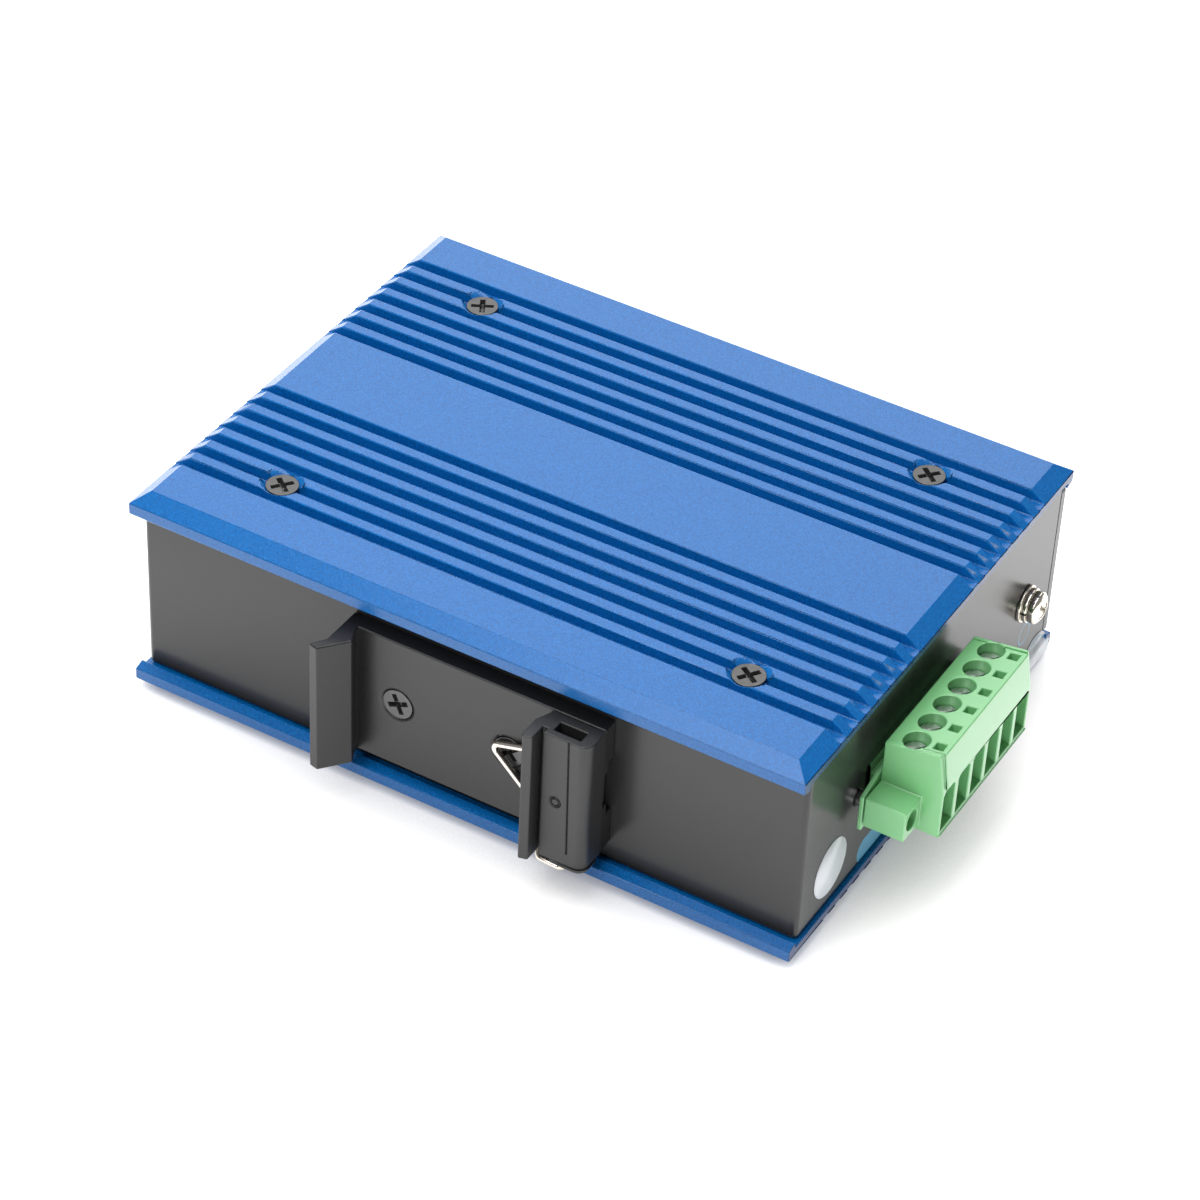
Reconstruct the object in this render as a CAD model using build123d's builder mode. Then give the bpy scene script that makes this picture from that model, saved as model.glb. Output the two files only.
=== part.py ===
from build123d import *
import os

os.makedirs("parts", exist_ok=True)

# Outside of the closed case. X runs along the cooling grooves towards the power terminal,
# Y runs from the rail clip towards the port panel, Z from one side plate to the other.
case_length = 122.0
case_depth = 92.0
case_thickness = 40.0

# Side plates: extruded aluminium with grooves and a lip along both long edges
plate_base = 3.5
plate_chamfer_run = 2.7
plate_chamfer_drop = 2.0
lip_thickness = 2.0
lip_outer_drop = 0.5
lip_inner_drop = 1.1
groove_count = 7
groove_pitch = 4.0
groove_width = 2.0
groove_depth = 2.0
groove_group_centre = 22.0
rib_edge_radius = 0.25

# Plate screws, countersunk M3, each pair in line with one groove of its group
plate_screw_end_inset = 18.5
plate_screw_groove = 2
plate_screw_rim_diameter = 7.1
screw_clearance_diameter = 3.4
m3_diameter = 3.0
m3_head_diameter = 5.4
m3_head_rim = 0.25
m3_cross_span = 3.8
m3_cross_width = 0.85
m3_cross_depth = 1.0
cross_taper_angle = 12
plate_screw_length = 9.0
plate_screw_turns = (52, 29, 55, 50)

# Folded steel housing between the plates
sheet = 1.0
end_overhang = 0.6
rear_setback = 3.0
front_setback = 1.0
end_flange_width = 24.0
rear_flange_width = 12.0
front_flange_width = 8.0
flange_relief = 0.8
insert_diameter = 6.0
insert_height = 2.5
thread_clearance = 0.05

# Port panel
panel_thickness = 1.5
panel_lip_gap = 0.1
panel_screw_spacing_z = 18.0
panel_screw_diameter = 2.5
panel_screw_head_diameter = 4.5
panel_screw_rim = 0.12
panel_screw_cross_span = 2.4
panel_screw_cross_width = 0.6
panel_screw_cross_depth = 1.0
panel_screw_length = 5.0
panel_screw_clearance = 0.15

# Rail clip: black extruded foot with a fixed hook, and a sprung jaw
rail_width = 35.0
clip_length = 25.0
clip_plate = 3.0
clip_screw_spacing = 20.4
clip_screw_rim_diameter = 6.3
clip_screw_length = 8.0
clip_screw_turns = (23, 40)
hook_root_x = -17.4
hook_cover = 1.1
hook_arm = 2.6
hook_tip_height = 3.4
hook_root_height = 0.8
hook_bend_height = 4.85
hook_crest_height = 7.9
hook_crest_width = 1.7
hook_crest_drop = 0.4
hook_lean = 1.7
hook_edge_radius = 0.25
rail_play = 0.3
jaw_gap = 0.15
jaw_width = 10.6
jaw_face_height = 5.4
jaw_lip_thickness = 1.9
jaw_lip_bevel_run = 0.4
jaw_lip_bevel_rise = 0.8
jaw_corner_radius = 1.8
jaw_slot_start = 3.7
jaw_slot_width = 4.7
jaw_slot_height = 2.0
jaw_slot_floor = 2.0
jaw_key_start = 4.2
jaw_key_length = 5.0
jaw_key_width = 6.0
jaw_foot_width = 10.0
jaw_foot_thickness = 1.2
key_clearance = 0.15
clip_end_overhang = 0.2

# Wire spring of the jaw
wire_diameter = 1.1
wire_bend_radius = 0.8
wire_apex_offset = 2.5
wire_apex_rise = 1.0
wire_leg_reach = 3.2
wire_upper_rise = 3.7
wire_knee_run = 7.5
wire_knee_drop = 7.9
wire_lower_drop = 1.6
wire_hook_run = 1.3
wire_hook_length = 4.5
wire_relief = 0.4

# Circuit board, raised so that the power header on it stands at mid-height of the end wall
board_thickness = 1.6
standoff_width = 5.5
standoff_end_inset = 7.4
standoff_rear_inset = 9.0
standoff_front_inset = 23.5
board_end_gap = 0.4
board_rear_gap = 2.0
board_front_gap = 2.5
board_screw_head_diameter = 5.5
board_screw_head_height = 2.0
board_screw_length = 6.0

# Power terminal, 5.08 mm pitch, with screwed flanges
pole_count = 6
pole_pitch = 5.08
terminal_centre_y = -7.62
header_height = 8.2
header_standout = 1.8
header_depth = 11.2
header_flange = 0.7
header_wall = 1.3
header_back_wall = 2.5
header_nut_diameter = 4.0
header_nut_length = 5.5
cavity_end_margin = 0.3
pin_width = 1.0
pin_setback = 1.8
pin_tail_inset = 2.5
pin_tail_drop = 1.0
pin_hole_diameter = 1.5
plug_seat_gap = 0.6
plug_depth = 10.6
plug_height = 15.9
plug_top_fall = 1.4
plug_board_gap = 0.1
plug_top_ledge = 0.5
plug_slope_height = 6.0
plug_lower_inset = 0.1
plug_slope_overhang = 0.2
plug_slope_inset = 1.0
plug_cap_inset = 0.7
spigot_length = 8.4
spigot_height = 5.0
spigot_clearance = 0.3
ear_depth = 7.0
ear_height = 5.6
ear_corner_radius = 0.5
ear_screw_recess = 2.2
flange_screw_diameter = 2.5
flange_screw_clearance = 0.15
flange_screw_end_gap = 1.6
flange_head_height = 1.6
screw_slot_width = 0.55
screw_slot_depth = 0.8
window_width = 3.9
window_height = 7.6
window_sill = 1.0
well_diameter = 4.3
well_setback = 4.1
test_hole_width = 1.7
test_hole_setback = 8.0
test_hole_depth = 3.6
chamber_wall = 1.4
cage_length = 5.0
cage_wall = 0.5
cage_top_wall = 1.0
cage_side_gap = 0.15
cage_top_gap = 0.3
clamp_screw_diameter = 2.5
clamp_head_height = 1.6
clamp_head_setback = 2.8
clamp_head_clearance = 0.15
clamp_slot_angle = 55
contact_thickness = 0.35
contact_side_gap = 0.2
contact_riser_height = 3.0
channel_height = 2.4
channel_clearance = 0.1
terminal_wall_clearance = 0.3

# Protective earth screw beside the terminal
earth_inset = 12.5
earth_drop = 1.5
flat_washer_diameter = 6.6
flat_washer_thickness = 0.6
spring_washer_diameter = 6.0
spring_washer_thickness = 0.9
spring_washer_split = 0.3
earth_head_diameter = 5.6
earth_head_height = 2.2
earth_head_rim = 1.2
earth_cross_span = 3.0
earth_cross_width = 0.75
earth_cross_depth = 1.6
earth_screw_length = 9.0

# Network sockets on the board's front edge
port_count = 5
port_row_margin = 1.0
jack_gap = 0.7
jack_width = 15.9
jack_height = 13.3
jack_depth = 16.0
jack_standout = 0.3
jack_panel_gap = 0.15
shield_thickness = 0.3
shield_leg_setback = 9.9
shield_leg_width = 1.2
shield_leg_tail = 1.0
leg_hole_clearance = 0.15
insert_gap = 0.05
socket_width = 11.8
socket_height = 6.8
socket_floor = 2.6
socket_depth = 12.6
latch_width = 6.2
latch_height = 1.5
latch_slot_width = 3.2
latch_slot_height = 1.3
contact_count = 8
contact_pitch = 1.02
contact_width = 0.4
strip_thickness = 0.3
strip_bend_radius = 0.17
contact_recess = 2.0
contact_fold_rise = 0.9
contact_tip_setback = 9.8
contact_tip_rise = 1.9
front_rib = 1.4
lens_width = 3.0
lens_height = 2.2
lens_depth = 4.0
lens_margin = 0.3

# Status lamps beside the sockets
lamp_count = 3
lamp_diameter = 3.0
lamp_pitch = 4.5
lamp_gap = 0.15
lamp_standout = 0.75
lamp_dome_radius = 1.25
lamp_tower_width = 5.0
lamp_tower_depth = 6.0
lamp_tower_inset = 5.0
lamp_socket_depth = 3.0

# Parts on the board. Insets are measured from the board's far end or from the power header
magnetics_length = 12.7
magnetics_width = 9.2
magnetics_height = 6.2
magnetics_gap = 3.4
magnetics_taper_angle = 3
chip_inset = 36.5
chip_width = 14.0
chip_height = 1.4
sink_width = 22.0
sink_base = 2.0
sink_height = 10.0
sink_fin_count = 6
sink_fin_thickness = 1.2
controller_width = 9.0
controller_height = 1.0
choke_inset = 25.0
choke_width = 12.0
choke_height = 7.0
choke_corner = 2.0
capacitor_count = 3
capacitor_inset = 15.0
capacitor_gap = 2.0
capacitor_diameter = 10.0
capacitor_height = 12.5
capacitor_edge_radius = 0.5
relay_inset = 10.0
relay_length = 15.0
relay_width = 7.5
relay_height = 10.0
relay_chamfer = 0.25
fuse_count = 2
fuse_gap = 1.6
fuse_relay_gap = 5.0
fuse_length = 7.4
fuse_width = 4.4
fuse_height = 3.0
crystal_inset = 14.5
crystal_length = 11.0
crystal_width = 4.6
crystal_height = 3.5

# Values that several pieces share
half_length = case_length / 2
half_depth = case_depth / 2
mid_z = case_thickness / 2
low_face = plate_base
high_face = case_thickness - plate_base
wall_x = half_length - end_overhang
rear_y = -(half_depth - rear_setback)
panel_y = half_depth - front_setback
flange_y = panel_y - panel_thickness
pin_z = mid_z
board_top = pin_z - header_height / 2
board_bottom = board_top - board_thickness
earth_y = half_depth - earth_inset
earth_z = mid_z - earth_drop
clip_face = rear_y - clip_plate
plate_screw_spacing_x = 2 * (half_length - plate_screw_end_inset)
plate_screw_spacing_y = 2 * (groove_group_centre + plate_screw_groove * groove_pitch)
plate_screw_sink = (plate_screw_rim_diameter - m3_head_diameter) / 2 - m3_head_rim - thread_clearance
clip_screw_sink = (clip_screw_rim_diameter - m3_head_diameter) / 2 - m3_head_rim - thread_clearance
standoff_spacing_x = 2 * (wall_x - standoff_end_inset)
standoff_rear_y = rear_y + standoff_rear_inset
standoff_front_y = flange_y - standoff_front_inset


# A countersunk screw standing on its own axis: head top at the origin, shank towards -Z
def countersunk_screw(head_diameter, shank_diameter, length, rim, cross_span, cross_width, cross_depth):
    head_radius = head_diameter / 2
    shank_radius = shank_diameter / 2
    cone_depth = head_radius - shank_radius
    with BuildPart() as screw:
        with BuildSketch(Plane.XZ) as half_section:
            with BuildLine():
                Polyline(
                    (0, 0),
                    (head_radius, 0),
                    (head_radius, -rim),
                    (shank_radius, -rim - cone_depth),
                    (shank_radius, -length),
                    (0, -length),
                    close=True,
                )
            make_face()
        revolve(axis=Axis.Z)
        with BuildSketch(Plane.XY) as cross:
            Rectangle(cross_span, cross_width)
            Rectangle(cross_width, cross_span)
        extrude(amount=-cross_depth, taper=cross_taper_angle, mode=Mode.SUBTRACT)
    return screw.part


# Upper side plate: the profile across the grooves is extruded, then both ends are chamfered
# and the screw holes sunk through the grooves
lip_inner_y = half_depth - lip_thickness
with BuildPart() as upper_side_plate:
    with BuildSketch(Plane.YZ.offset(-half_length)) as plate_section:
        with BuildLine():
            Polyline(
                (half_depth, high_face - lip_outer_drop),
                (half_depth, case_thickness - plate_chamfer_drop),
                (half_depth - plate_chamfer_run, case_thickness),
                (plate_chamfer_run - half_depth, case_thickness),
                (-half_depth, case_thickness - plate_chamfer_drop),
                (-half_depth, high_face - lip_outer_drop),
                (-lip_inner_y, high_face - lip_inner_drop),
                (-lip_inner_y, high_face),
                (lip_inner_y, high_face),
                (lip_inner_y, high_face - lip_inner_drop),
                close=True,
            )
        make_face()
        with Locations((groove_group_centre, case_thickness), (-groove_group_centre, case_thickness)):
            with GridLocations(groove_pitch, 0, groove_count, 1):
                Rectangle(groove_width, 2 * groove_depth, mode=Mode.SUBTRACT)
        fillet(plate_section.vertices().group_by(Axis.Z)[-1], radius=rib_edge_radius)
    extrude(amount=case_length)
    with BuildSketch(Plane.XZ) as end_chamfer:
        with BuildLine():
            Polyline(
                (half_length - plate_chamfer_run, case_thickness),
                (half_length + plate_chamfer_run, case_thickness - 2 * plate_chamfer_drop),
                (half_length + plate_chamfer_run, case_thickness + plate_chamfer_drop),
                (half_length - plate_chamfer_run, case_thickness + plate_chamfer_drop),
                close=True,
            )
        make_face()
        mirror(about=Plane.YZ)
    extrude(amount=case_depth, both=True, mode=Mode.SUBTRACT)
    with Locations(Plane.XY.offset(case_thickness)):
        with GridLocations(plate_screw_spacing_x, plate_screw_spacing_y, 2, 2):
            CounterSinkHole(
                radius=screw_clearance_diameter / 2,
                counter_sink_radius=plate_screw_rim_diameter / 2,
                counter_sink_angle=90,
            )
upper_side_plate.part.label = "upper_side_plate"
export_step(upper_side_plate.part, "parts/upper_side_plate.step")

# Lower side plate: the same extrusion turned over
with BuildPart() as lower_side_plate:
    mirror(upper_side_plate.part, about=Plane.XY.offset(mid_z))
lower_side_plate.part.label = "lower_side_plate"
export_step(lower_side_plate.part, "parts/lower_side_plate.step")

# Plate screws, four a side, sunk to the same depth below the ribs
plate_screw = countersunk_screw(
    m3_head_diameter,
    m3_diameter,
    plate_screw_length,
    m3_head_rim,
    m3_cross_span,
    m3_cross_width,
    m3_cross_depth,
)
plate_screw_places = GridLocations(plate_screw_spacing_x, plate_screw_spacing_y, 2, 2)
plate_screw_height = Location((0, 0, case_thickness - plate_screw_sink))
with BuildPart() as upper_plate_screws:
    for place, turn in zip(plate_screw_places, plate_screw_turns):
        add(plate_screw.moved(plate_screw_height * place * Rotation(0, 0, turn)))
upper_plate_screws.part.label = "upper_plate_screws"
export_step(upper_plate_screws.part, "parts/upper_plate_screws.step")

with BuildPart() as lower_plate_screws:
    mirror(upper_plate_screws.part, about=Plane.XY.offset(mid_z))
lower_plate_screws.part.label = "lower_plate_screws"
export_step(lower_plate_screws.part, "parts/lower_plate_screws.step")

# Folded housing: rear wall and two end walls with flanges turned in under both plates
header_half_width = (pole_count + 2) * pole_pitch / 2 + header_flange
clip_screw_x = clip_screw_spacing / 2
m3_thread_diameter = m3_diameter + 2 * thread_clearance
with BuildPart() as housing_wrap:
    with BuildSketch(Plane.XY.offset(low_face)) as footprint:
        with Locations((0, (flange_y + rear_y) / 2)):
            Rectangle(2 * wall_x, flange_y - rear_y)
    extrude(amount=high_face - low_face)
    front_edges = housing_wrap.faces().sort_by(Axis.Y)[-1].edges()
    fillet([edge for edge in housing_wrap.edges() if edge not in front_edges], radius=sheet)
    # Hollow between the sheets
    with BuildSketch(Plane.XY.offset(low_face + sheet)) as hollow:
        with Locations((0, (flange_y + rear_y) / 2)):
            Rectangle(2 * (wall_x - sheet), flange_y - rear_y - 2 * sheet)
    extrude(amount=high_face - low_face - 2 * sheet, mode=Mode.SUBTRACT)
    # Both wide faces are open inside their flanges
    window_rear_y = rear_y + rear_flange_width
    with BuildSketch(Plane.XY) as side_windows:
        with Locations((0, (flange_y + window_rear_y) / 2)):
            Rectangle(2 * (wall_x - end_flange_width), flange_y - window_rear_y)
    extrude(amount=case_thickness, mode=Mode.SUBTRACT)
    # The front is open inside two narrow flanges that hold the port panel
    with BuildSketch(Plane.XZ.offset(-flange_y)) as front_opening:
        with Locations((0, mid_z)):
            Rectangle(2 * (wall_x - front_flange_width), case_thickness)
    extrude(amount=2 * sheet, mode=Mode.SUBTRACT)
    # Relief cuts that let the flanges fold
    with BuildSketch(Plane.XY) as rear_reliefs:
        with Locations((0, rear_y + sheet + rear_flange_width / 2)):
            with GridLocations(2 * (wall_x - end_flange_width) - flange_relief, 0, 2, 1):
                Rectangle(flange_relief, rear_flange_width)
    extrude(amount=case_thickness, mode=Mode.SUBTRACT)
    front_relief_width = front_flange_width - sheet
    with Locations((0, flange_y - sheet - flange_relief / 2, mid_z)):
        with GridLocations(2 * (wall_x - sheet) - front_relief_width, 0, 2, 1):
            Box(front_relief_width, flange_relief, case_thickness, mode=Mode.SUBTRACT)
    # Holes for the plate screws, the board pillars, the clip, the earth screw and the panel
    with Locations(Plane.XY.offset(high_face)):
        with GridLocations(plate_screw_spacing_x, plate_screw_spacing_y, 2, 2):
            Hole(radius=m3_thread_diameter / 2)
    with Locations(Plane.XZ.offset(-rear_y)):
        with Locations((-clip_screw_x, mid_z), (clip_screw_x, mid_z)):
            Hole(radius=m3_thread_diameter / 2, depth=2 * sheet)
    with Locations(Plane.YZ.offset(wall_x)):
        with Locations((earth_y, earth_z)):
            Hole(radius=m3_thread_diameter / 2, depth=2 * sheet)
    panel_screw_x = wall_x - front_flange_width / 2
    with Locations(Plane.XZ.offset(-flange_y)):
        with Locations((0, mid_z)):
            with GridLocations(2 * panel_screw_x, panel_screw_spacing_z, 2, 2):
                Hole(radius=panel_screw_diameter / 2 + thread_clearance, depth=2 * sheet)
    # Opening for the power header in the end wall
    with BuildSketch(Plane.YZ.offset(wall_x - 2 * sheet)) as header_opening:
        with Locations((terminal_centre_y, pin_z)):
            Rectangle(
                2 * (header_half_width + terminal_wall_clearance),
                header_height + 2 * terminal_wall_clearance,
            )
    extrude(amount=3 * sheet, mode=Mode.SUBTRACT)
housing_wrap.part.label = "housing_wrap"
export_step(housing_wrap.part, "parts/housing_wrap.step")


# A pressed nut: a collar with a threaded bore, its flange face at the origin, body towards -Z
with BuildPart() as pressed_nut:
    Cylinder(insert_diameter / 2, insert_height, align=(Align.CENTER, Align.CENTER, Align.MAX))
    Hole(radius=m3_thread_diameter / 2)

# Nuts pressed into the flanges behind the plate screws
with BuildPart() as flange_nuts:
    with Locations(Plane.XY.offset(high_face - sheet)):
        with GridLocations(plate_screw_spacing_x, plate_screw_spacing_y, 2, 2):
            add(pressed_nut.part)
    mirror(about=Plane.XY.offset(mid_z))
flange_nuts.part.label = "flange_nuts"
export_step(flange_nuts.part, "parts/flange_nuts.step")

# Nuts pressed into the rear wall for the clip and into the end wall for the earth screw
with BuildPart() as wall_nuts:
    with Locations(
        Location((-clip_screw_x, rear_y + sheet, mid_z), (90, 0, 0)),
        Location((clip_screw_x, rear_y + sheet, mid_z), (90, 0, 0)),
        Location((wall_x - sheet, earth_y, earth_z), (0, 90, 0)),
    ):
        add(pressed_nut.part)
wall_nuts.part.label = "wall_nuts"
export_step(wall_nuts.part, "parts/wall_nuts.step")

# Port panel: flat sheet with one opening a socket, three lamp holes and four sunk screw holes
# The room beside the row of sockets is shared out before the last socket and round the lamps
port_row_length = port_count * jack_width + (port_count - 1) * jack_gap
panel_room = 2 * (wall_x - front_flange_width) - port_row_margin - port_row_length - lamp_diameter
panel_gap = panel_room / 3
first_port_x = front_flange_width + port_row_margin + jack_width / 2 - wall_x
port_x = [first_port_x + (jack_width + jack_gap) * i for i in range(port_count)]
port_x[-1] += panel_gap
panel_height = high_face - low_face - 2 * (lip_inner_drop + panel_lip_gap)
jack_centre_z = board_top + jack_height / 2
lamp_tower_height = lamp_count * lamp_pitch
lamp_x = port_x[-1] + jack_width / 2 + panel_gap + lamp_diameter / 2
lamp_z = board_top + lamp_tower_height / 2
with BuildPart() as front_panel:
    with BuildSketch(Plane.XZ.offset(-flange_y)) as panel_outline:
        with Locations((0, mid_z)):
            RectangleRounded(2 * wall_x, panel_height, sheet)
        with Locations(*[(x, jack_centre_z) for x in port_x]):
            Rectangle(
                jack_width + 2 * jack_panel_gap,
                jack_height + 2 * jack_panel_gap,
                mode=Mode.SUBTRACT,
            )
        with Locations((lamp_x, lamp_z)):
            with GridLocations(0, lamp_pitch, 1, lamp_count):
                Circle(lamp_diameter / 2 + lamp_gap, mode=Mode.SUBTRACT)
    extrude(amount=-panel_thickness)
    with Locations(Plane(origin=(0, panel_y, mid_z), x_dir=(1, 0, 0), z_dir=(0, 1, 0))):
        with GridLocations(2 * panel_screw_x, panel_screw_spacing_z, 2, 2):
            CounterSinkHole(
                radius=panel_screw_diameter / 2 + panel_screw_clearance,
                counter_sink_radius=panel_screw_head_diameter / 2 + panel_screw_clearance,
                counter_sink_angle=90,
            )
front_panel.part.label = "front_panel"
export_step(front_panel.part, "parts/front_panel.step")

panel_screw = countersunk_screw(
    panel_screw_head_diameter,
    panel_screw_diameter,
    panel_screw_length,
    panel_screw_rim,
    panel_screw_cross_span,
    panel_screw_cross_width,
    panel_screw_cross_depth,
)
with BuildPart() as front_panel_screws:
    with Locations(Plane(origin=(0, panel_y, mid_z), x_dir=(1, 0, 0), z_dir=(0, 1, 0))):
        with GridLocations(2 * panel_screw_x, panel_screw_spacing_z, 2, 2):
            add(panel_screw)
front_panel_screws.part.label = "front_panel_screws"
export_step(front_panel_screws.part, "parts/front_panel_screws.step")

# Rail clip foot: the hook profile and the mounting plate are one extrusion along Z
hook_tip_x = hook_root_x + hook_cover
jaw_root_x = hook_root_x + rail_width + rail_play
jaw_tip_x = jaw_root_x - hook_cover
jaw_right_x = jaw_tip_x + jaw_width
clip_left_x = hook_root_x - hook_arm
clip_right_x = jaw_right_x - clip_end_overhang
jaw_key_x = jaw_tip_x + jaw_key_start
clip_low_z = mid_z - clip_length / 2
key_slot_x = jaw_key_x - key_clearance
foot_recess = jaw_foot_thickness + 2 * key_clearance
with BuildPart() as din_clip_base:
    with BuildSketch(Plane.XY.offset(clip_low_z)) as clip_profile:
        with BuildLine():
            Polyline(
                (clip_left_x, rear_y),
                (clip_left_x, clip_face - hook_bend_height),
                (clip_left_x - hook_lean, clip_face - hook_crest_height + hook_crest_drop),
                (clip_left_x - hook_lean + hook_crest_width, clip_face - hook_crest_height),
                (hook_tip_x, clip_face - hook_tip_height),
                (hook_root_x, clip_face - hook_root_height),
                (hook_root_x, clip_face),
                (clip_right_x, clip_face),
                (clip_right_x, rear_y),
                close=True,
            )
        make_face()
        hook_corners = clip_profile.vertices().group_by(Axis.Y)[0]
        fillet(hook_corners, radius=hook_edge_radius)
    extrude(amount=clip_length)
    with Locations(Plane.XZ.offset(-clip_face)):
        with Locations((-clip_screw_x, mid_z), (clip_screw_x, mid_z)):
            CounterSinkHole(
                radius=screw_clearance_diameter / 2,
                counter_sink_radius=clip_screw_rim_diameter / 2,
                counter_sink_angle=90,
                depth=clip_plate,
            )
    # Keyway of the jaw: a slot through the plate, open at its end, with a wider recess behind
    with BuildSketch(Plane.XZ.offset(-rear_y)) as key_slot:
        with Locations((key_slot_x, mid_z)):
            Rectangle(
                clip_right_x,
                jaw_key_width + 2 * key_clearance,
                align=(Align.MIN, Align.CENTER),
            )
    extrude(amount=clip_plate, mode=Mode.SUBTRACT)
    with BuildSketch(Plane.XZ.offset(-rear_y)) as foot_slot:
        with Locations((key_slot_x, mid_z)):
            Rectangle(
                clip_right_x,
                jaw_foot_width + 2 * key_clearance,
                align=(Align.MIN, Align.CENTER),
            )
    extrude(amount=foot_recess, mode=Mode.SUBTRACT)
din_clip_base.part.label = "din_clip_base"
export_step(din_clip_base.part, "parts/din_clip_base.step")

# Sliding jaw: hook lip facing the fixed one, a flat block with a through slot, and a T key
# that runs in the plate
jaw_rear_y = clip_face - jaw_gap
wire_y = clip_face - wire_diameter / 2 - thread_clearance
relief_y = wire_y - wire_diameter / 2 - wire_relief
apex_x = clip_screw_x - wire_apex_offset
apex_z = mid_z + wire_apex_rise
with BuildPart() as clip_jaw:
    with BuildSketch(Plane.XY.offset(clip_low_z)) as jaw_profile:
        with BuildLine():
            Polyline(
                (jaw_root_x, jaw_rear_y),
                (jaw_root_x, clip_face - hook_root_height),
                (jaw_tip_x, clip_face - hook_tip_height),
                (jaw_tip_x, clip_face - hook_crest_height + jaw_lip_bevel_rise),
                (jaw_tip_x + jaw_lip_bevel_run, clip_face - hook_crest_height),
                (jaw_tip_x + jaw_lip_thickness, clip_face - hook_crest_height + hook_crest_drop),
                (jaw_tip_x + jaw_lip_thickness, clip_face - jaw_face_height),
                (jaw_right_x, clip_face - jaw_face_height),
                (jaw_right_x, jaw_rear_y),
                close=True,
            )
        make_face()
        outer_corner = jaw_profile.vertices().group_by(Axis.X)[-1].sort_by(Axis.Y)[0]
        fillet(outer_corner, radius=jaw_corner_radius)
        with Locations((jaw_tip_x + jaw_slot_start, clip_face - jaw_slot_floor)):
            Rectangle(
                jaw_slot_width,
                jaw_slot_height,
                align=(Align.MIN, Align.MAX),
                mode=Mode.SUBTRACT,
            )
    extrude(amount=clip_length)
    # Relief behind the lip for the wire spring
    with BuildSketch(Plane.XZ.offset(-jaw_rear_y)) as wire_pocket:
        with Locations((jaw_tip_x, clip_low_z)):
            Rectangle(
                jaw_key_x - jaw_tip_x - wire_relief,
                apex_z + wire_upper_rise + wire_diameter + wire_relief - clip_low_z,
                align=(Align.MIN, Align.MIN),
            )
    extrude(amount=jaw_rear_y - relief_y, mode=Mode.SUBTRACT)
    # T key
    with BuildSketch(Plane.XZ.offset(-jaw_rear_y)) as key_section:
        with Locations((jaw_key_x, mid_z)):
            Rectangle(jaw_key_length, jaw_key_width, align=(Align.MIN, Align.CENTER))
    extrude(amount=-(rear_y - key_clearance - jaw_rear_y))
    with BuildSketch(Plane.XZ.offset(-(rear_y - key_clearance))) as foot_section:
        with Locations((jaw_key_x, mid_z)):
            Rectangle(jaw_key_length, jaw_foot_width, align=(Align.MIN, Align.CENTER))
    extrude(amount=jaw_foot_thickness)
clip_jaw.part.label = "clip_jaw"
export_step(clip_jaw.part, "parts/clip_jaw.step")

# Wire spring: a V whose apex sits round the right-hand clip screw, one leg under the jaw's
# lip and the other hooked round the jaw's lower end into its slot
leg_end_x = jaw_tip_x + wire_leg_reach
hook_x = leg_end_x + wire_hook_run
turn_z = clip_low_z - wire_lower_drop
slot_mid_y = clip_face - jaw_slot_floor - jaw_slot_height / 2
with BuildPart() as clip_spring:
    with BuildLine() as wire_path:
        FilletPolyline(
            (leg_end_x, wire_y, apex_z + wire_upper_rise),
            (apex_x, wire_y, apex_z),
            (apex_x + wire_knee_run, wire_y, apex_z - wire_knee_drop),
            (leg_end_x, wire_y, turn_z),
            (hook_x, slot_mid_y, turn_z),
            (hook_x, slot_mid_y, turn_z + wire_hook_length),
            radius=wire_bend_radius,
        )
    with BuildSketch(Plane(origin=wire_path.line @ 0, z_dir=wire_path.line % 0)) as wire_section:
        Circle(wire_diameter / 2)
    sweep(path=wire_path.line)
clip_spring.part.label = "clip_spring"
export_step(clip_spring.part, "parts/clip_spring.step")

# Clip screws, countersunk like the plate screws
clip_screw = countersunk_screw(
    m3_head_diameter,
    m3_diameter,
    clip_screw_length,
    m3_head_rim,
    m3_cross_span,
    m3_cross_width,
    m3_cross_depth,
)
clip_screw_plane = Plane.XZ.offset(-(clip_face + clip_screw_sink))
with BuildPart() as clip_screws:
    for screw_x, turn in zip((-clip_screw_x, clip_screw_x), clip_screw_turns):
        place = clip_screw_plane * Pos(screw_x, mid_z) * Rotation(0, 0, turn)
        add(clip_screw.moved(place))
clip_screws.part.label = "clip_screws"
export_step(clip_screws.part, "parts/clip_screws.step")

# Earth screw with its flat and spring washers
flat_washer_x = wall_x + flat_washer_thickness
earth_head_x = flat_washer_x + spring_washer_thickness
with BuildPart() as earth_flat_washer:
    with BuildSketch(Plane.YZ.offset(wall_x)) as flat_ring:
        with Locations((earth_y, earth_z)):
            Circle(flat_washer_diameter / 2)
            Circle(screw_clearance_diameter / 2, mode=Mode.SUBTRACT)
    extrude(amount=flat_washer_thickness)
earth_flat_washer.part.label = "earth_flat_washer"
export_step(earth_flat_washer.part, "parts/earth_flat_washer.step")

with BuildPart() as earth_spring_washer:
    with BuildSketch(Plane.YZ.offset(flat_washer_x)) as split_ring:
        with Locations((earth_y, earth_z)):
            Circle(spring_washer_diameter / 2)
            Circle(screw_clearance_diameter / 2, mode=Mode.SUBTRACT)
            with Locations((-spring_washer_diameter / 2, 0)):
                Rectangle(spring_washer_diameter / 2, spring_washer_split, mode=Mode.SUBTRACT)
    extrude(amount=spring_washer_thickness)
earth_spring_washer.part.label = "earth_spring_washer"
export_step(earth_spring_washer.part, "parts/earth_spring_washer.step")

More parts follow.
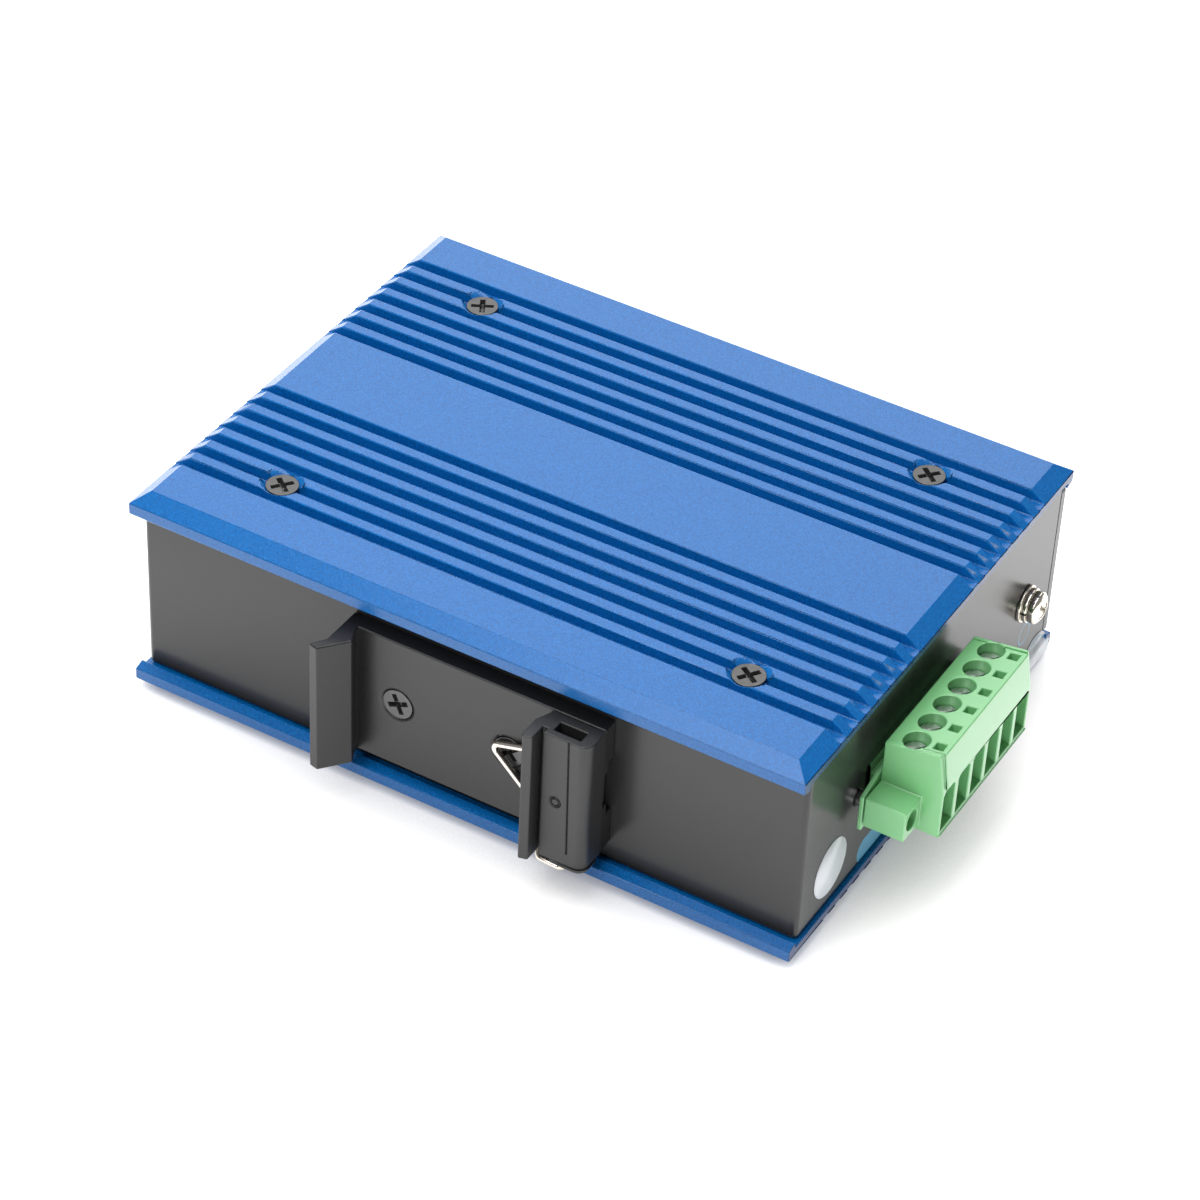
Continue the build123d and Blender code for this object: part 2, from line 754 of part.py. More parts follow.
earth_crown = earth_head_height - earth_head_rim
earth_crown_radius = ((earth_head_diameter / 2) ** 2 + earth_crown**2) / (2 * earth_crown)
with BuildPart() as earth_screw:
    with BuildSketch(Plane.XZ.offset(-earth_y)) as earth_section:
        with BuildLine():
            head_side = Polyline(
                (earth_head_x, earth_z),
                (earth_head_x, earth_z + earth_head_diameter / 2),
                (earth_head_x + earth_head_rim, earth_z + earth_head_diameter / 2),
            )
            crown_arc = RadiusArc(
                head_side @ 1,
                (earth_head_x + earth_head_height, earth_z),
                earth_crown_radius,
            )
            Line(crown_arc @ 1, head_side @ 0)
        make_face()
        with Locations((earth_head_x, earth_z)):
            Rectangle(earth_screw_length, m3_diameter / 2, align=(Align.MAX, Align.MIN))
    revolve(axis=Axis((0, earth_y, earth_z), (1, 0, 0)))
    with BuildSketch(Plane.YZ.offset(earth_head_x + earth_head_height)) as earth_cross:
        with Locations((earth_y, earth_z)):
            Rectangle(earth_cross_span, earth_cross_width, rotation=45)
            Rectangle(earth_cross_width, earth_cross_span, rotation=45)
    extrude(amount=-earth_cross_depth, taper=cross_taper_angle, mode=Mode.SUBTRACT)
earth_screw.part.label = "earth_screw"
export_step(earth_screw.part, "parts/earth_screw.step")

# Power header: a shrouded socket with a nut in each flange, standing through the end wall
pole_y = [terminal_centre_y + pole_pitch * (i - (pole_count - 1) / 2) for i in range(pole_count)]
ear_y = [
    terminal_centre_y - pole_pitch * (pole_count + 1) / 2,
    terminal_centre_y + pole_pitch * (pole_count + 1) / 2,
]
header_front_x = wall_x + header_standout
header_back_x = header_front_x - header_depth
cavity_half_width = pole_count * pole_pitch / 2 + cavity_end_margin
with BuildPart() as terminal_header:
    with BuildSketch(Plane.YZ.offset(header_back_x)) as shroud:
        with Locations((terminal_centre_y, pin_z)):
            Rectangle(2 * header_half_width, header_height)
    extrude(amount=header_depth)
    with BuildSketch(Plane.YZ.offset(header_front_x)) as cavity:
        with Locations((terminal_centre_y, pin_z)):
            Rectangle(2 * cavity_half_width, header_height - 2 * header_wall)
    extrude(amount=header_back_wall - header_depth, mode=Mode.SUBTRACT)
    with BuildSketch(Plane.YZ.offset(header_back_x)) as pin_holes:
        with Locations(*[(y, pin_z) for y in pole_y]):
            Rectangle(pin_width + 2 * thread_clearance, pin_width + 2 * thread_clearance)
    extrude(amount=header_back_wall, mode=Mode.SUBTRACT)
    with BuildSketch(Plane.YZ.offset(header_front_x)) as nut_pockets:
        with Locations(*[(y, pin_z) for y in ear_y]):
            Circle(header_nut_diameter / 2 + thread_clearance)
    extrude(amount=-header_nut_length - thread_clearance, mode=Mode.SUBTRACT)
terminal_header.part.label = "terminal_header"
export_step(terminal_header.part, "parts/terminal_header.step")

# Header pins: square wire through the back wall, bent down to the board
pin_tail_x = header_back_x - pin_tail_inset
pin_tip_x = header_front_x - pin_setback
with BuildPart() as header_pins:
    with BuildSketch(Plane.XZ) as pin_side:
        with BuildLine():
            Polyline(
                (pin_tip_x, pin_z - pin_width / 2),
                (pin_tip_x, pin_z + pin_width / 2),
                (pin_tail_x - pin_width / 2, pin_z + pin_width / 2),
                (pin_tail_x - pin_width / 2, board_bottom - pin_tail_drop),
                (pin_tail_x + pin_width / 2, board_bottom - pin_tail_drop),
                (pin_tail_x + pin_width / 2, pin_z - pin_width / 2),
                close=True,
            )
        make_face()
    pin_blank = extrude(amount=pin_width / 2, both=True, mode=Mode.PRIVATE)
    with Locations(*[(0, y, 0) for y in pole_y]):
        add(pin_blank)
header_pins.part.label = "header_pins"
export_step(header_pins.part, "parts/header_pins.step")

with BuildPart() as header_nuts:
    with BuildSketch(Plane.YZ.offset(header_front_x - header_nut_length)) as nut_rings:
        with Locations(*[(y, pin_z) for y in ear_y]):
            Circle(header_nut_diameter / 2)
            Circle(flange_screw_diameter / 2 + thread_clearance, mode=Mode.SUBTRACT)
    extrude(amount=header_nut_length)
header_nuts.part.label = "header_nuts"
export_step(header_nuts.part, "parts/header_nuts.step")

# Pluggable terminal: stepped housing with a spigot into the header and a flange ear each end
plug_back_x = header_front_x + plug_seat_gap
plug_front_x = plug_back_x + plug_depth
plug_low_z = board_top + plug_board_gap
plug_high_z = plug_low_z + plug_height
slope_low_z = plug_high_z - plug_top_ledge - plug_slope_height
plug_half_width = pole_count * pole_pitch / 2
well_x = plug_back_x + well_setback
chamber_back_x = plug_back_x + chamber_wall
window_top_z = plug_low_z + window_sill + window_height
clamp_head_low_z = plug_high_z - clamp_head_setback - clamp_head_height
well_floor_z = clamp_head_low_z - thread_clearance
ear_screw_seat_x = plug_back_x + ear_screw_recess
spigot_half_width = cavity_half_width - spigot_clearance
cage_width = window_width - 2 * cage_side_gap
contact_strip_width = cage_width - 2 * cage_wall - 2 * contact_side_gap
channel_width = contact_strip_width + 2 * channel_clearance
riser_top_z = pin_z + contact_riser_height
with BuildPart() as terminal_plug:
    with BuildSketch(Plane.XZ.offset(-(terminal_centre_y - plug_half_width))) as plug_side:
        with BuildLine():
            Polyline(
                (plug_back_x, plug_low_z),
                (plug_front_x - plug_lower_inset, plug_low_z),
                (plug_front_x - plug_lower_inset, slope_low_z - plug_top_ledge / 2),
                (plug_front_x + plug_slope_overhang, slope_low_z),
                (plug_front_x - plug_slope_inset, plug_high_z - plug_top_ledge),
                (plug_front_x - plug_cap_inset, plug_high_z - plug_top_ledge),
                (plug_front_x - plug_cap_inset, plug_high_z),
                (plug_back_x, plug_high_z - plug_top_fall),
                close=True,
            )
        make_face()
    extrude(amount=-2 * plug_half_width)
    # Flange ears
    with BuildSketch(Plane.YZ.offset(plug_back_x)) as ears:
        with Locations(*[(y, pin_z) for y in ear_y]):
            Rectangle(pole_pitch, ear_height)
        outer_corners = ears.vertices().group_by(Axis.Y)[0] + ears.vertices().group_by(Axis.Y)[-1]
        fillet(outer_corners, radius=ear_corner_radius)
    extrude(amount=ear_depth)
    # Spigot
    with BuildSketch(Plane.YZ.offset(plug_back_x)) as spigot:
        with Locations((terminal_centre_y, pin_z)):
            Rectangle(2 * spigot_half_width, spigot_height)
    extrude(amount=-spigot_length)
    # Wire entries, open at the front, and the chamber of each clamp
    with BuildSketch(Plane.YZ.offset(chamber_back_x)) as windows:
        with Locations(*[(y, plug_low_z + window_sill) for y in pole_y]):
            Rectangle(window_width, window_height, align=(Align.CENTER, Align.MIN))
    extrude(amount=plug_depth, mode=Mode.SUBTRACT)
    # Screw wells, each with a hole through its floor into the clamp, and test holes from the top
    with BuildSketch(Plane.XY.offset(plug_high_z)) as wells:
        with Locations(*[(well_x, y) for y in pole_y]):
            Circle(well_diameter / 2)
    extrude(amount=well_floor_z - plug_high_z, mode=Mode.SUBTRACT)
    with BuildSketch(Plane.XY.offset(well_floor_z)) as screw_holes:
        with Locations(*[(well_x, y) for y in pole_y]):
            Circle(clamp_screw_diameter / 2 + thread_clearance)
    extrude(amount=window_top_z - well_floor_z, mode=Mode.SUBTRACT)
    with BuildSketch(Plane.XY.offset(plug_high_z)) as test_holes:
        with Locations(*[(plug_back_x + test_hole_setback, y) for y in pole_y]):
            Rectangle(test_hole_width, test_hole_width)
    extrude(amount=-test_hole_depth, mode=Mode.SUBTRACT)
    # Channels of the contacts through the spigot
    with BuildSketch(Plane.YZ.offset(plug_back_x - spigot_length)) as channels:
        with Locations(*[(y, pin_z) for y in pole_y]):
            Rectangle(channel_width, channel_height)
    extrude(amount=chamber_back_x - plug_back_x + spigot_length, mode=Mode.SUBTRACT)
    riser_back_x = plug_back_x + contact_thickness
    with BuildSketch(Plane.YZ.offset(riser_back_x)) as risers:
        with Locations(*[(y, pin_z) for y in pole_y]):
            Rectangle(channel_width, riser_top_z - pin_z, align=(Align.CENTER, Align.MIN))
    extrude(amount=chamber_back_x - riser_back_x, mode=Mode.SUBTRACT)
    # Flange screw holes, counterbored from the front
    with Locations(Plane.YZ.offset(plug_back_x + ear_depth)):
        with Locations(*[(y, pin_z) for y in ear_y]):
            CounterBoreHole(
                radius=flange_screw_diameter / 2 + flange_screw_clearance,
                counter_bore_radius=header_nut_diameter / 2 + thread_clearance,
                counter_bore_depth=ear_depth - ear_screw_recess,
                depth=ear_depth,
            )
terminal_plug.part.label = "terminal_plug"
export_step(terminal_plug.part, "parts/terminal_plug.step")

# Flange screws of the plug, slotted cheese heads
with BuildPart() as plug_flange_screws:
    with BuildSketch(Plane.YZ.offset(ear_screw_seat_x)) as flange_heads:
        with Locations(*[(y, pin_z) for y in ear_y]):
            Circle(header_nut_diameter / 2 - thread_clearance)
    extrude(amount=flange_head_height)
    with BuildSketch(Plane.YZ.offset(ear_screw_seat_x)) as flange_shanks:
        with Locations(*[(y, pin_z) for y in ear_y]):
            Circle(flange_screw_diameter / 2)
    extrude(amount=-(ear_screw_recess + plug_seat_gap + header_nut_length - flange_screw_end_gap))
    with BuildSketch(Plane.YZ.offset(ear_screw_seat_x + flange_head_height)) as flange_slots:
        with Locations(*[(y, pin_z) for y in ear_y]):
            Rectangle(header_nut_diameter, screw_slot_width)
    extrude(amount=-screw_slot_depth, mode=Mode.SUBTRACT)
plug_flange_screws.part.label = "plug_flange_screws"
export_step(plug_flange_screws.part, "parts/plug_flange_screws.step")

# Clamp cages: square tubes that the wire enters from the front and the screw lifts
cage_low_z = plug_low_z + window_sill + thread_clearance
cage_high_z = window_top_z - cage_top_gap
cage_back_x = chamber_back_x + thread_clearance
with BuildPart() as clamp_cages:
    with BuildSketch(Plane.YZ.offset(cage_back_x)) as cage_section:
        with Locations(*[(y, (cage_low_z + cage_high_z) / 2) for y in pole_y]):
            Rectangle(cage_width, cage_high_z - cage_low_z)
        with Locations(*[(y, cage_low_z + cage_wall) for y in pole_y]):
            Rectangle(
                cage_width - 2 * cage_wall,
                cage_high_z - cage_low_z - cage_wall - cage_top_wall,
                align=(Align.CENTER, Align.MIN),
                mode=Mode.SUBTRACT,
            )
    extrude(amount=cage_length)
    with BuildSketch(Plane.XY.offset(cage_high_z)) as cage_threads:
        with Locations(*[(well_x, y) for y in pole_y]):
            Circle(clamp_screw_diameter / 2 + thread_clearance)
    extrude(amount=-cage_top_wall, mode=Mode.SUBTRACT)
clamp_cages.part.label = "clamp_cages"
export_step(clamp_cages.part, "parts/clamp_cages.step")

# Clamp screws: slotted heads at the bottom of the wells
bar_top_z = riser_top_z - thread_clearance
with BuildPart() as clamp_screws:
    with BuildSketch(Plane.XY.offset(clamp_head_low_z)) as clamp_heads:
        with Locations(*[(well_x, y) for y in pole_y]):
            Circle(well_diameter / 2 - clamp_head_clearance)
    extrude(amount=clamp_head_height)
    with BuildSketch(Plane.XY.offset(clamp_head_low_z)) as clamp_shanks:
        with Locations(*[(well_x, y) for y in pole_y]):
            Circle(clamp_screw_diameter / 2)
    extrude(amount=bar_top_z + thread_clearance - clamp_head_low_z)
    with BuildSketch(Plane.XY.offset(clamp_head_low_z + clamp_head_height)) as clamp_slots:
        with Locations(*[(well_x, y) for y in pole_y]):
            Rectangle(well_diameter, screw_slot_width, rotation=clamp_slot_angle)
    extrude(amount=-screw_slot_depth, mode=Mode.SUBTRACT)
clamp_screws.part.label = "clamp_screws"
export_step(clamp_screws.part, "parts/clamp_screws.step")

# Plug contacts: two leaves that grip the pin, with a current bar under each clamp screw
leaf_offset = pin_width / 2 + thread_clearance + contact_thickness / 2
leaf_front_x = plug_back_x - spigot_length + contact_thickness
riser_x = plug_back_x + 3 * contact_thickness
with BuildPart() as plug_contacts:
    with BuildSketch(Plane.XZ) as contact_side:
        with Locations(
            ((leaf_front_x + riser_x) / 2, pin_z + leaf_offset),
            ((leaf_front_x + riser_x) / 2, pin_z - leaf_offset),
        ):
            Rectangle(riser_x - leaf_front_x + contact_thickness, contact_thickness)
        with Locations((riser_x, pin_z - leaf_offset - contact_thickness / 2)):
            Rectangle(
                contact_thickness,
                bar_top_z - pin_z + leaf_offset + contact_thickness / 2,
                align=(Align.CENTER, Align.MIN),
            )
        with Locations((riser_x, bar_top_z)):
            Rectangle(
                cage_back_x + cage_length - riser_x,
                contact_thickness,
                align=(Align.MIN, Align.MAX),
            )
    contact_blank = extrude(amount=contact_strip_width / 2, both=True, mode=Mode.PRIVATE)
    with Locations(*[(0, y, 0) for y in pole_y]):
        add(contact_blank)
plug_contacts.part.label = "plug_contacts"
export_step(plug_contacts.part, "parts/plug_contacts.step")

# Circuit board on four pillars
board_half_length = wall_x - sheet - insert_height - board_end_gap
board_rear_y = rear_y + sheet + board_rear_gap
board_front_y = flange_y - board_front_gap
standoff_mid_y = (standoff_front_y + standoff_rear_y) / 2
standoff_spacing_y = standoff_front_y - standoff_rear_y
jack_front_y = panel_y + jack_standout
shield_leg_y = jack_front_y - shield_leg_setback
with BuildPart() as circuit_board:
    with BuildSketch(Plane.XY.offset(board_bottom)) as board_outline:
        with Locations((0, (board_front_y + board_rear_y) / 2)):
            Rectangle(2 * board_half_length, board_front_y - board_rear_y)
        with Locations((0, standoff_mid_y)):
            with GridLocations(standoff_spacing_x, standoff_spacing_y, 2, 2):
                Circle(screw_clearance_diameter / 2, mode=Mode.SUBTRACT)
        with Locations(*[(pin_tail_x, y) for y in pole_y]):
            Circle(pin_hole_diameter / 2, mode=Mode.SUBTRACT)
        with Locations(*[(x, shield_leg_y) for x in port_x]):
            with GridLocations(jack_width - shield_thickness, 0, 2, 1):
                Rectangle(
                    shield_thickness + 2 * leg_hole_clearance,
                    shield_leg_width + 2 * leg_hole_clearance,
                    mode=Mode.SUBTRACT,
                )
    extrude(amount=board_thickness)
circuit_board.part.label = "circuit_board"
export_step(circuit_board.part, "parts/circuit_board.step")

with BuildPart() as board_pillars:
    with BuildSketch(Plane.XY.offset(low_face + sheet)) as pillar_section:
        with Locations((0, standoff_mid_y)):
            with GridLocations(standoff_spacing_x, standoff_spacing_y, 2, 2):
                RegularPolygon(standoff_width / 2, 6, major_radius=False)
                Circle(m3_thread_diameter / 2, mode=Mode.SUBTRACT)
    extrude(amount=board_bottom - low_face - sheet)
board_pillars.part.label = "board_pillars"
export_step(board_pillars.part, "parts/board_pillars.step")

with BuildPart() as board_screws:
    with Locations((0, standoff_mid_y, board_top)):
        with GridLocations(standoff_spacing_x, standoff_spacing_y, 2, 2):
            Cylinder(
                board_screw_head_diameter / 2,
                board_screw_head_height,
                align=(Align.CENTER, Align.CENTER, Align.MIN),
            )
            Cylinder(
                m3_diameter / 2,
                board_screw_length,
                align=(Align.CENTER, Align.CENTER, Align.MAX),
            )
board_screws.part.label = "board_screws"
export_step(board_screws.part, "parts/board_screws.step")

# Network sockets. One is built at X = 0 and copied to each port.
jack_back_y = jack_front_y - jack_depth
insert_half_width = jack_width / 2 - shield_thickness - insert_gap
insert_back_y = jack_back_y + shield_thickness + insert_gap
insert_top_z = board_top + jack_height - shield_thickness - insert_gap
with BuildPart() as shield_blank:
    with Locations((0, (jack_front_y + jack_back_y) / 2, board_top)):
        Box(jack_width, jack_depth, jack_height, align=(Align.CENTER, Align.CENTER, Align.MIN))
    with Locations((0, (jack_front_y + jack_back_y) / 2 + shield_thickness, board_top)):
        Box(
            jack_width - 2 * shield_thickness,
            jack_depth,
            jack_height - shield_thickness,
            align=(Align.CENTER, Align.CENTER, Align.MIN),
            mode=Mode.SUBTRACT,
        )
    with Locations((0, shield_leg_y, board_top)):
        with GridLocations(jack_width - shield_thickness, 0, 2, 1):
            Box(
                shield_thickness,
                shield_leg_width,
                board_thickness + shield_leg_tail,
                align=(Align.CENTER, Align.CENTER, Align.MAX),
            )

socket_floor_z = board_top + socket_floor
contact_comb_width = contact_count * contact_pitch + contact_width
lens_inset_x = insert_half_width - lens_width / 2 - lens_margin
lens_centre_z = insert_top_z - lens_height / 2 - lens_margin
with BuildPart() as insert_blank:
    with Locations((0, (jack_front_y + insert_back_y) / 2, board_top)):
        Box(
            2 * insert_half_width,
            jack_front_y - insert_back_y,
            insert_top_z - board_top,
            align=(Align.CENTER, Align.CENTER, Align.MIN),
        )
    with BuildSketch(Plane.XZ.offset(-jack_front_y)) as socket_mouth:
        with Locations((0, socket_floor_z)):
            Rectangle(socket_width, socket_height, align=(Align.CENTER, Align.MIN))
        with Locations((0, socket_floor_z + socket_height)):
            Rectangle(latch_width, latch_height, align=(Align.CENTER, Align.MIN))
        with Locations((0, socket_floor_z + socket_height + latch_height)):
            Rectangle(latch_slot_width, latch_slot_height, align=(Align.CENTER, Align.MIN))
    extrude(amount=socket_depth, mode=Mode.SUBTRACT)
    # Recess under the contacts, open to the board behind the socket
    with Locations((0, jack_front_y - front_rib, socket_floor_z)):
        Box(
            contact_comb_width,
            socket_depth - front_rib,
            contact_recess,
            align=(Align.CENTER, Align.MAX, Align.MAX),
            mode=Mode.SUBTRACT,
        )
    with Locations((0, jack_front_y - socket_depth, socket_floor_z)):
        Box(
            contact_comb_width,
            front_rib,
            socket_floor,
            align=(Align.CENTER, Align.MAX, Align.MAX),
            mode=Mode.SUBTRACT,
        )
    with Locations((0, jack_front_y, lens_centre_z)):
        with GridLocations(2 * lens_inset_x, 0, 2, 1):
            Box(
                lens_width + 2 * insert_gap,
                lens_depth + insert_gap,
                lens_height + 2 * insert_gap,
                align=(Align.CENTER, Align.MAX, Align.CENTER),
                mode=Mode.SUBTRACT,
            )

# Contact strip: foot on the board, run along the recess, fold back and up into the socket
run_z = socket_floor_z - contact_recess + strip_thickness
fold_y = jack_front_y - front_rib - 2 * strip_thickness
foot_y = jack_front_y - socket_depth - front_rib / 2
with BuildPart() as contact_blank_set:
    with BuildSketch(Plane.YZ) as strip_side:
        with BuildLine() as strip_path:
            FilletPolyline(
                (foot_y, board_top),
                (foot_y, run_z),
                (fold_y, run_z),
                (fold_y - strip_thickness, run_z + contact_fold_rise),
                (jack_front_y - contact_tip_setback, socket_floor_z + contact_tip_rise),
                radius=strip_bend_radius,
            )
        trace(line_width=strip_thickness)
    strip_blank = extrude(amount=contact_width / 2, both=True, mode=Mode.PRIVATE)
    with GridLocations(contact_pitch, 0, contact_count, 1):
        add(strip_blank)

for index, x in enumerate(port_x):
    port_name = f"port_{index + 1}"
    with BuildPart() as port_shield:
        with Locations((x, 0, 0)):
            add(shield_blank.part)
    port_shield.part.label = f"{port_name}_shield"
    export_step(port_shield.part, f"parts/{port_name}_shield.step")
    with BuildPart() as port_insert:
        with Locations((x, 0, 0)):
            add(insert_blank.part)
    port_insert.part.label = f"{port_name}_insert"
    export_step(port_insert.part, f"parts/{port_name}_insert.step")
    with BuildPart() as port_contacts:
        with Locations((x, 0, 0)):
            add(contact_blank_set.part)
    port_contacts.part.label = f"{port_name}_contacts"
    export_step(port_contacts.part, f"parts/{port_name}_contacts.step")

# Lamp lenses in the sockets, two a port
with BuildPart() as port_lamps:
    with Locations(*[(x, jack_front_y - insert_gap, lens_centre_z) for x in port_x]):
        with GridLocations(2 * lens_inset_x, 0, 2, 1):
            Box(
                lens_width,
                lens_depth - insert_gap,
                lens_height,
                align=(Align.CENTER, Align.MAX, Align.CENTER),
            )
port_lamps.part.label = "port_lamps"
export_step(port_lamps.part, "parts/port_lamps.step")

# Status lamps: three domed lamps in a tower on the board, reaching through the panel
lamp_tower_front_y = flange_y - lamp_tower_inset
with BuildPart() as lamp_tower:
    with Locations((lamp_x, lamp_tower_front_y, board_top)):
        Box(
            lamp_tower_width,
            lamp_tower_depth,
            lamp_tower_height,
            align=(Align.CENTER, Align.MAX, Align.MIN),
        )
    with Locations(Plane(origin=(lamp_x, lamp_tower_front_y, lamp_z), x_dir=(1, 0, 0), z_dir=(0, 1, 0))):
        with GridLocations(0, lamp_pitch, 1, lamp_count):
            Hole(radius=lamp_diameter / 2 + lamp_gap, depth=lamp_socket_depth)
lamp_tower.part.label = "lamp_tower"
export_step(lamp_tower.part, "parts/lamp_tower.step")

lamp_back_y = lamp_tower_front_y - lamp_socket_depth
with BuildPart() as status_lamps:
    with BuildSketch(Plane.XZ.offset(-lamp_back_y)) as lamp_section:
        with Locations((lamp_x, lamp_z)):
            with GridLocations(0, lamp_pitch, 1, lamp_count):
                Circle(lamp_diameter / 2)
    extrude(amount=-(panel_y + lamp_standout - lamp_back_y))
    dome_edges = status_lamps.faces().group_by(Axis.Y)[-1].edges()
    fillet(dome_edges, radius=lamp_dome_radius)
status_lamps.part.label = "status_lamps"
export_step(status_lamps.part, "parts/status_lamps.step")

# Line transformers, one behind each socket
magnetics_y = jack_back_y - magnetics_gap - magnetics_width / 2
with BuildPart() as line_transformers:
    with BuildSketch(Plane.XY.offset(board_top)) as magnetics_base:
        with Locations(*[(x, magnetics_y) for x in port_x]):
            Rectangle(magnetics_length, magnetics_width)
    extrude(amount=magnetics_height, taper=magnetics_taper_angle)
line_transformers.part.label = "line_transformers"
export_step(line_transformers.part, "parts/line_transformers.step")

# The power stage stands in rows of equal gaps between the board's rear edge and the transformers
power_room = magnetics_y - magnetics_width / 2 - board_rear_y - capacitor_diameter - 2 * choke_width
power_gap = power_room / 4
capacitor_y = board_rear_y + power_gap + capacitor_diameter / 2
choke_x = header_back_x - choke_inset
choke_y = [
    capacitor_y + capacitor_diameter / 2 + power_gap + choke_width / 2 + (choke_width + power_gap) * i
    for i in range(2)
]
capacitor_x = [
    header_back_x - capacitor_inset - (capacitor_diameter + capacitor_gap) * i
    for i in range(capacitor_count)
]
relay_x = header_back_x - relay_inset
fuse_y = [
    terminal_centre_y + relay_length / 2 + fuse_relay_gap + fuse_width / 2 + (fuse_width + fuse_gap) * i
    for i in range(fuse_count)
]
chip_x = chip_inset - board_half_length
chip_y = (choke_y[0] + choke_y[1]) / 2
crystal_x = crystal_inset - board_half_length

# Switching chip with a finned heat sink
with BuildPart() as switch_chip:
    with BuildSketch(Plane.XY.offset(board_top)) as chip_outline:
        with Locations((chip_x, chip_y)):
            Rectangle(chip_width, chip_width)
    extrude(amount=chip_height)
switch_chip.part.label = "switch_chip"
export_step(switch_chip.part, "parts/switch_chip.step")

with BuildPart() as chip_heat_sink:
    with BuildSketch(Plane.XY.offset(board_top + chip_height)) as sink_base_outline:
        with Locations((chip_x, chip_y)):
            Rectangle(sink_width, sink_width)
    extrude(amount=sink_base)
    with BuildSketch(Plane.XY.offset(board_top + chip_height + sink_base)) as sink_fins:
        with Locations((chip_x, chip_y)):
            fin_pitch = (sink_width - sink_fin_thickness) / (sink_fin_count - 1)
            with GridLocations(fin_pitch, 0, sink_fin_count, 1):
                Rectangle(sink_fin_thickness, sink_width)
    extrude(amount=sink_height - sink_base)
chip_heat_sink.part.label = "chip_heat_sink"
export_step(chip_heat_sink.part, "parts/chip_heat_sink.step")

# Power stage: controller chip, chokes, capacitors and the fault relay
with BuildPart() as power_controller:
    with BuildSketch(Plane.XY.offset(board_top)) as controller_outline:
        with Locations((chip_x, capacitor_y)):
            Rectangle(controller_width, controller_width)
    extrude(amount=controller_height)
power_controller.part.label = "power_controller"
export_step(power_controller.part, "parts/power_controller.step")

with BuildPart() as power_chokes:
    with BuildSketch(Plane.XY.offset(board_top)) as choke_outline:
        with Locations(*[(choke_x, y) for y in choke_y]):
            RectangleRounded(choke_width, choke_width, choke_corner)
    extrude(amount=choke_height)
power_chokes.part.label = "power_chokes"
export_step(power_chokes.part, "parts/power_chokes.step")

with BuildPart() as bulk_capacitors:
    with BuildSketch(Plane.XY.offset(board_top)) as capacitor_outline:
        with Locations(*[(x, capacitor_y) for x in capacitor_x]):
            Circle(capacitor_diameter / 2)
    extrude(amount=capacitor_height)
    fillet(bulk_capacitors.faces().group_by(Axis.Z)[-1].edges(), radius=capacitor_edge_radius)
bulk_capacitors.part.label = "bulk_capacitors"
export_step(bulk_capacitors.part, "parts/bulk_capacitors.step")

with BuildPart() as fault_relay:
    with Locations((relay_x, terminal_centre_y, board_top)):
        Box(
            relay_width,
            relay_length,
            relay_height,
            align=(Align.CENTER, Align.CENTER, Align.MIN),
        )
    chamfer(fault_relay.faces().sort_by(Axis.Z)[-1].edges(), length=relay_chamfer)
fault_relay.part.label = "fault_relay"
export_step(fault_relay.part, "parts/fault_relay.step")

with BuildPart() as input_fuses:
    with BuildSketch(Plane.XY.offset(board_top)) as fuse_outline:
        with Locations(*[(relay_x, y) for y in fuse_y]):
            Rectangle(fuse_length, fuse_width)
    extrude(amount=fuse_height)
input_fuses.part.label = "input_fuses"
export_step(input_fuses.part, "parts/input_fuses.step")

with BuildPart() as clock_crystal:
    with BuildSketch(Plane.XY.offset(board_top)) as crystal_outline:
        with Locations((crystal_x, chip_y)):
            SlotOverall(crystal_length, crystal_width)
    extrude(amount=crystal_height)
clock_crystal.part.label = "clock_crystal"
export_step(clock_crystal.part, "parts/clock_crystal.step")
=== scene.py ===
from math import cos, pi, radians, sin

import bmesh
import bpy
from mathutils import Matrix, Vector


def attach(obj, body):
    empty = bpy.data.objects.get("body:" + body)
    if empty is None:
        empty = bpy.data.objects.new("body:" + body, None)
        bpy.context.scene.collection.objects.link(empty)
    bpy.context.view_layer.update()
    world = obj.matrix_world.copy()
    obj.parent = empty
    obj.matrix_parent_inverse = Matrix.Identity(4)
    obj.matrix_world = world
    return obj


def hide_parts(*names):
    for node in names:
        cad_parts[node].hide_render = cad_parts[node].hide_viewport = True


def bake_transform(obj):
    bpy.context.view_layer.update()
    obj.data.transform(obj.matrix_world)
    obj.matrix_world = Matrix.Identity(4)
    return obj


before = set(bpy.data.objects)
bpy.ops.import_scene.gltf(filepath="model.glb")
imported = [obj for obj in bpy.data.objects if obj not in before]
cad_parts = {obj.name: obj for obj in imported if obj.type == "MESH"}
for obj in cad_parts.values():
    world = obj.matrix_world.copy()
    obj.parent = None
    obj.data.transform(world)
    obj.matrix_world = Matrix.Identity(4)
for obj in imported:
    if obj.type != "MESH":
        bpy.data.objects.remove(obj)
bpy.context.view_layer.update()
MM = 0.001

# Housing: rear wall and both end walls are one folded steel sheet, powder coated satin black.
# The end wall goes on behind the terminal's ears, with a hole for each of its flange screws.
# The port panel closes the front, cut from the same sheet and held by small countersunk screws.


